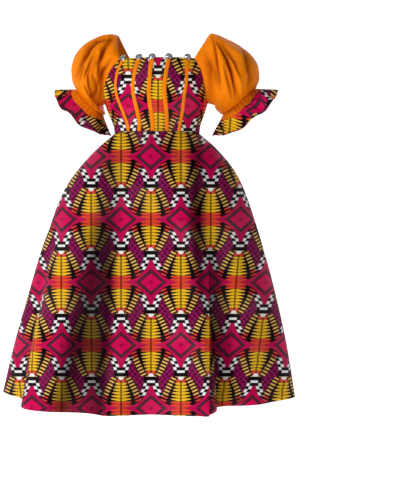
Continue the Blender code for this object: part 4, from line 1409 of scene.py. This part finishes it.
class DRESS_OT_strips(bpy.types.Operator):
    """Make the five plain strips on the bodice front"""

    bl_idname = "dress.strips"
    bl_label = "Strips"

    def execute(self, context):
        across, down = STEPS["strip"]
        for k, strip in enumerate(STRIPS, start=1):
            share = steps_between(0, 1, down)[:, None]
            z = WAIST_Z + STRIP_FOOT + (NECK_Z - WAIST_Z) * share
            middle = strip_angle(strip, z)
            half = np.degrees(STRIP_HALF_WIDTH / np.linalg.norm(torso(middle, z)[..., :2], axis=-1))
            part = steps_between(-1, 1, across)[None, :]
            angle = middle + half * part
            z = np.broadcast_to(z, angle.shape)
            points = bodice_surface(angle, z)
            normals = normals_of(bodice_surface, angle, z)
            crown = STRIP_LIFT + STRIP_THICK * (STRIP_EDGE + STRIP_CROWN * (1 - np.abs(part) ** 3))
            face = points + normals * crown[..., None]
            under = points + normals * STRIP_LIFT
            rows = np.concatenate([face, under[:, ::-1]], axis=1)
            run = np.concatenate([part, 2 + part[:, 1:], 4 + part[:, :1]], axis=1) * STRIP_HALF_WIDTH
            run = np.concatenate([run, run[:, -1:] + STRIP_HALF_WIDTH], axis=1)[:, : rows.shape[1] + 1]
            places = np.stack([np.broadcast_to(run, (len(rows), run.shape[1])), z[:, :1] + 0 * run], axis=-1)
            made = grid(f"strip_{k}_band", rows, places, closed=True)
            cap_ends(made)
            dressed(made, plain_material(context.scene.dress_plain), "plain_orange", f"strip_{k}")
        return {"FINISHED"}


def laid_boxes(name, centres, along, outward, size):
    """Small boxes as one mesh, each laid along a line on a surface: stitches, or a zip's teeth."""
    along = unit(along - outward * np.sum(along * outward, axis=-1, keepdims=True))
    across = np.cross(outward, along)
    length, width, height = (part / 2 for part in size)
    corners = []
    for up in (-1, 1):
        for a, b in ((-1, -1), (1, -1), (1, 1), (-1, 1)):
            taper = 1 if up < 0 else BOX_TAPER
            aside = along * (a * length * taper) + across * (b * width * taper)
            corners.append(centres + aside + outward * (up * height))
    points = np.stack(corners, axis=1).reshape(-1, 3)
    faces = []
    for k in range(len(centres)):
        first = k * 8
        for face in ((3, 2, 1, 0), (4, 5, 6, 7), (0, 1, 5, 4), (1, 2, 6, 5), (2, 3, 7, 6), (3, 0, 4, 7)):
            faces.append([first + corner for corner in face])
    mesh = bpy.data.meshes.new(name)
    mesh.from_pydata([tuple(point) for point in points], [], faces)
    return placed(name, mesh)


def line_at(points, run, at):
    """Points of a line at some places, where run is the place of each point that it is drawn through."""
    return np.stack([np.interp(at, run, points[:, k]) for k in range(3)], axis=1)


def evenly(points, gap):
    """Places at even distances along a line of points, and its direction there."""
    steps = np.linalg.norm(np.diff(points, axis=0), axis=1)
    run = np.concatenate([[0], np.cumsum(steps)])
    at = np.arange(gap / 2, run[-1], gap)
    ahead, behind = (line_at(points, run, at + step) for step in (gap / 4, -gap / 4))
    return line_at(points, run, at), unit(ahead - behind), np.interp(at, run, np.arange(len(points)))


def cap_ends(made):
    """Closes the two open ends of a tube."""
    mesh = bmesh.new()
    mesh.from_mesh(made.data)
    bmesh.ops.holes_fill(mesh, edges=[edge for edge in mesh.edges if edge.is_boundary], sides=0)
    bmesh.ops.recalc_face_normals(mesh, faces=mesh.faces)
    mesh.to_mesh(made.data)
    mesh.free()


def strip_angle(strip, z):
    """Where a strip's middle lies round the body at a height."""
    levels = dict(STRIP_LEVELS, neck=NECK_Z, waist=WAIST_Z)
    return column([dict(z=levels[name], angle=strip[name]) for name in levels], "angle", z)


class DRESS_OT_buttons(bpy.types.Operator):
    """Make the jewelled buttons at the tops of the strips"""

    bl_idname = "dress.buttons"
    bl_label = "Buttons"

    def execute(self, context):
        settings = context.scene.dress_plain
        radius = settings.button_radius
        for k, strip in enumerate(STRIPS, start=1):
            angle = float(strip_angle(strip, NECK_Z))
            seat = bodice_surface(angle, NECK_Z)
            normal = normals_of(bodice_surface, angle, NECK_Z)
            seat = Vector(seat + normal * (STRIP_LIFT + STRIP_THICK + BUTTON_LIFT))
            stand = Matrix.Translation(seat) @ Vector(normal).to_track_quat("Z", "Y").to_matrix().to_4x4()
            setting = self.setting(f"button_{k}_setting", radius, settings.button_claws, stand)
            stone = self.stone(f"button_{k}_stone", radius, stand)
            dressed(setting, metal_material(settings), "jewel", f"button_{k}")
            dressed(stone, stone_material(settings), "jewel")
        return {"FINISHED"}

    def setting(self, name, radius, claws, stand):
        """A turned dish with a raised rim and claws round the stone."""
        dish = disc(40, radius * BUTTON["foot"], BUTTON["thick"] / 2)
        bpy.ops.transform.resize(value=(BUTTON["flare"], BUTTON["flare"], 1))
        bpy.ops.mesh.extrude_region_move(TRANSFORM_OT_translate={"value": (0, 0, BUTTON["height"])})
        for width, depth in (BUTTON["rim"], BUTTON["hollow"]):
            bpy.ops.mesh.inset(thickness=radius * width, depth=depth)
        bpy.ops.object.mode_set(mode="OBJECT")
        parts = [dish]
        out, height, size = BUTTON["claws"]
        for k in range(claws):
            turn = 2 * math.pi * k / claws
            at = (radius * out * math.cos(turn), radius * out * math.sin(turn), height)
            bpy.ops.object.select_all(action="DESELECT")
            bpy.ops.mesh.primitive_uv_sphere_add(segments=8, ring_count=6, radius=radius * size, location=at)
            parts.append(bpy.context.object)
        select_only(*parts)
        bpy.ops.object.join()
        made = bpy.context.object
        made.name = name
        rounded = made.modifiers.new("rounded", "BEVEL")
        rounded.width = BUTTON["rounding"]
        rounded.segments = 2
        rounded.limit_method = "ANGLE"
        bpy.ops.object.modifier_apply(modifier="rounded")
        bpy.ops.object.shade_smooth_by_angle(angle=math.radians(40))
        return set_down(made, stand)

    def stone(self, name, radius, stand):
        """A round stone with a flat table and two rows of facets."""
        width, height = BUTTON["stone"]
        made = disc(12, radius * width, height)
        made.name = name
        turn = math.radians(BUTTON["facet_turn"])
        for rise, size in BUTTON["facets"]:
            bpy.ops.mesh.extrude_region_move(TRANSFORM_OT_translate={"value": (0, 0, rise)})
            bpy.ops.transform.resize(value=(size, size, 1))
            bpy.ops.transform.rotate(value=turn, orient_axis="Z", center_override=(0, 0, 0))
        bpy.ops.object.mode_set(mode="OBJECT")
        bpy.ops.object.shade_flat()
        return set_down(made, stand)


def edit_with(made, kind, chosen):
    """Goes into edit mode with only the faces or edges selected that a test chooses."""
    bpy.ops.object.mode_set(mode="EDIT")
    mesh = bmesh.from_edit_mesh(made.data)
    for item in (*mesh.verts, *mesh.edges, *mesh.faces):
        item.select = False
    for item in getattr(mesh, kind):
        if chosen(item):
            item.select_set(True)
    mesh.select_flush_mode()
    bmesh.update_edit_mesh(made.data)


def disc(corners, radius, height):
    """A thin disc at a height, in edit mode with its top selected."""
    bpy.ops.object.select_all(action="DESELECT")
    shape = dict(vertices=corners, radius=radius, depth=BUTTON["thick"])
    bpy.ops.mesh.primitive_cylinder_add(**shape, location=(0, 0, height))
    made = bpy.context.object
    edit_with(made, "faces", lambda face: face.normal.z > 0.9)
    return made


def select_only(*parts):
    """Selects some objects, with the first as the active one."""
    bpy.ops.object.select_all(action="DESELECT")
    for part in parts:
        part.select_set(True)
    bpy.context.view_layer.objects.active = parts[0]


def set_down(made, stand):
    """Puts a piece where it belongs, with its place in its mesh and its object at the origin."""
    select_only(made)
    made.matrix_world = stand @ made.matrix_world
    bpy.ops.object.transform_apply(location=True, rotation=True, scale=True)
    return made


class DRESS_OT_zip(bpy.types.Operator):
    """Make the tape and the teeth of the concealed zip"""

    bl_idname = "dress.zip"
    bl_label = "Zip"

    def execute(self, context):
        across, down = STEPS["zip"]
        z = steps_between(ZIP_LEVELS[-1]["z"], ZIP_LEVELS[0]["z"], down)[:, None]
        above = z > WAIST_Z
        depth = column(ZIP_LEVELS, "depth", z)
        back = np.where(above, column(BODICE_SECTIONS, "back", z), column(SKIRT_SECTIONS, "back", z))
        part = steps_between(-1, 1, across)[None, :]
        angle = 180 + np.degrees(ZIP["half_width"] / back) * part
        z = np.broadcast_to(z, angle.shape)
        points = np.where(above[..., None], torso(angle, z), oval(SKIRT_SECTIONS, angle, z))
        points = posed(points - points_of(0, depth, 0))
        places = np.stack([part * ZIP["half_width"] + 0 * z, z + 0 * part], axis=-1)
        tape = grid("zip_tape", points, places)
        thickened(tape, ZIP["thick"])
        dressed(tape, plain_material(context.scene.dress_plain), "plain_orange", "zip")
        self.teeth(context, points)
        return {"FINISHED"}

    def teeth(self, context, points):
        """Two rows of teeth that mesh, on the tape's inner face."""
        middle = points[:, points.shape[1] // 2]
        places, along, _ = evenly(middle, TOOTH["gap"])
        inward = unit(np.cross(along, points[0, -1] - points[0, 0]))
        inward = inward * np.where(inward[:, 1:2] > 0, -1, 1)
        across = np.cross(along, inward)
        step = np.where(np.arange(len(places)) % 2, 1, -1)[:, None] * TOOTH["size"][0] * TOOTH["apart"]
        centres = places + inward * (ZIP["thick"] + TOOTH["size"][2] / 2 - TOOTH["sunk"]) + across * step
        teeth = laid_boxes("zip_teeth", centres, across, inward, TOOTH["size"])
        dressed(teeth, metal_material(context.scene.dress_plain), "jewel")


class DRESS_OT_stage(bpy.types.Operator):
    """Make the floor, the lights and the camera"""

    bl_idname = "dress.stage"
    bl_label = "Stage"

    def execute(self, context):
        settings = context.scene.dress_stage
        self.floor(settings)
        for name, at, size, power in LIGHTS:
            light = bpy.data.lights.new(name, "AREA")
            light.energy = power
            light.size = size
            lamp = placed(name, light)
            lamp.location = at
            lamp.rotation_euler = (Vector(LIGHTS_AIM) - Vector(at)).to_track_quat("-Z", "Y").to_euler()
        world = bpy.data.worlds.new("studio")
        world.use_nodes = True
        light = world.node_tree.nodes["Background"].inputs
        light["Color"].default_value = (1, 1, 1, 1)
        light["Strength"].default_value = WORLD_LIGHT
        context.scene.world = world
        context.scene.view_settings.view_transform = "Standard"
        camera = bpy.data.cameras.new("camera")
        camera.sensor_fit = "VERTICAL"
        camera.sensor_height = LENS["height"]
        camera.lens = LENS["length"]
        eye = placed("camera", camera)
        eye.location = (VIEW_CENTRE["x"], -settings.camera_distance, settings.camera_height)
        eye.rotation_euler = (math.radians(90), 0, 0)
        context.scene.camera = eye
        return {"FINISHED"}

    def floor(self, settings):
        """A pale floor that sweeps up into a backdrop."""
        bpy.ops.object.select_all(action="DESELECT")
        width = BACKDROP["width"]
        bpy.ops.mesh.primitive_plane_add(size=width, location=(0, -1, settings.floor_height))
        floor = bpy.context.object
        floor.name = "floor"
        edit_with(floor, "edges", lambda edge: all(vert.co.y > 0 for vert in edge.verts))
        bpy.ops.mesh.extrude_region_move(TRANSFORM_OT_translate={"value": (0, 0, BACKDROP["height"])})
        bpy.ops.object.mode_set(mode="OBJECT")
        bend = floor.modifiers.new("sweep", "BEVEL")
        bend.width = BACKDROP["bend"]
        bend.segments = BACKDROP["segments"]
        bpy.ops.object.shade_smooth()
        floor.data.materials.append(self.paper(settings))

    def paper(self, settings):
        """Matt paper that glows from a line across it backwards."""
        made, tree, shader, vector = solid_material("studio_paper", 0.9)
        pale = (*settings.floor_colour, 1)
        darker = (*[value * 0.98 for value in settings.floor_colour], 1)
        feed(tree, mixed(tree, noise(tree, vector, 30.0, 3), pale, darker), shader.inputs["Base Color"])
        far = tree.nodes.new("ShaderNodeMapRange")
        far.interpolation_type = "SMOOTHSTEP"
        far.inputs["From Min"].default_value = settings.glow_start
        far.inputs["From Max"].default_value = settings.glow_start + GLOW_SPAN
        feed(tree, parted(tree, vector)[1], far.inputs["Value"])
        glow = mixed(tree, Field(tree, far.outputs["Result"]), (0, 0, 0, 1), pale)
        feed(tree, glow, shader.inputs["Emission Color"])
        shader.inputs["Emission Strength"].default_value = settings.floor_glow
        return made


class DRESS_PT_panel(bpy.types.Panel):
    """Lists the pieces of the dress"""

    bl_idname = "DRESS_PT_panel"
    bl_label = "Wax Print Dress"
    bl_space_type = "VIEW_3D"
    bl_region_type = "UI"
    bl_category = "Dress"

    def draw(self, context):
        for group in ("dress_print", "dress_plain", "dress_stage"):
            settings = getattr(context.scene, group)
            box = self.layout.box()
            for name in settings.bl_rna.properties.keys():
                if name not in ("rna_type", "name"):
                    box.prop(settings, name)
        for piece in PIECES:
            self.layout.operator(piece.bl_idname)


PIECES = (
    DRESS_OT_bodice,
    DRESS_OT_skirt,
    DRESS_OT_pockets,
    DRESS_OT_sleeves,
    DRESS_OT_cuffs,
    DRESS_OT_strips,
    DRESS_OT_buttons,
    DRESS_OT_zip,
    DRESS_OT_stage,
)
SETTINGS = {
    "dress_print": DressPrintSettings,
    "dress_plain": DressPlainSettings,
    "dress_stage": DressStageSettings,
}


def register():
    for made in (*SETTINGS.values(), *PIECES, DRESS_PT_panel):
        bpy.utils.register_class(made)
    for name, settings in SETTINGS.items():
        setattr(bpy.types.Scene, name, PointerProperty(type=settings))


def unregister():
    for name in SETTINGS:
        delattr(bpy.types.Scene, name)
    for made in reversed((*SETTINGS.values(), *PIECES, DRESS_PT_panel)):
        bpy.utils.unregister_class(made)


def main():
    register()
    for piece in PIECES:
        group, name = piece.bl_idname.split(".")
        getattr(getattr(bpy.ops, group), name)()


if __name__ == "__main__":
    main()
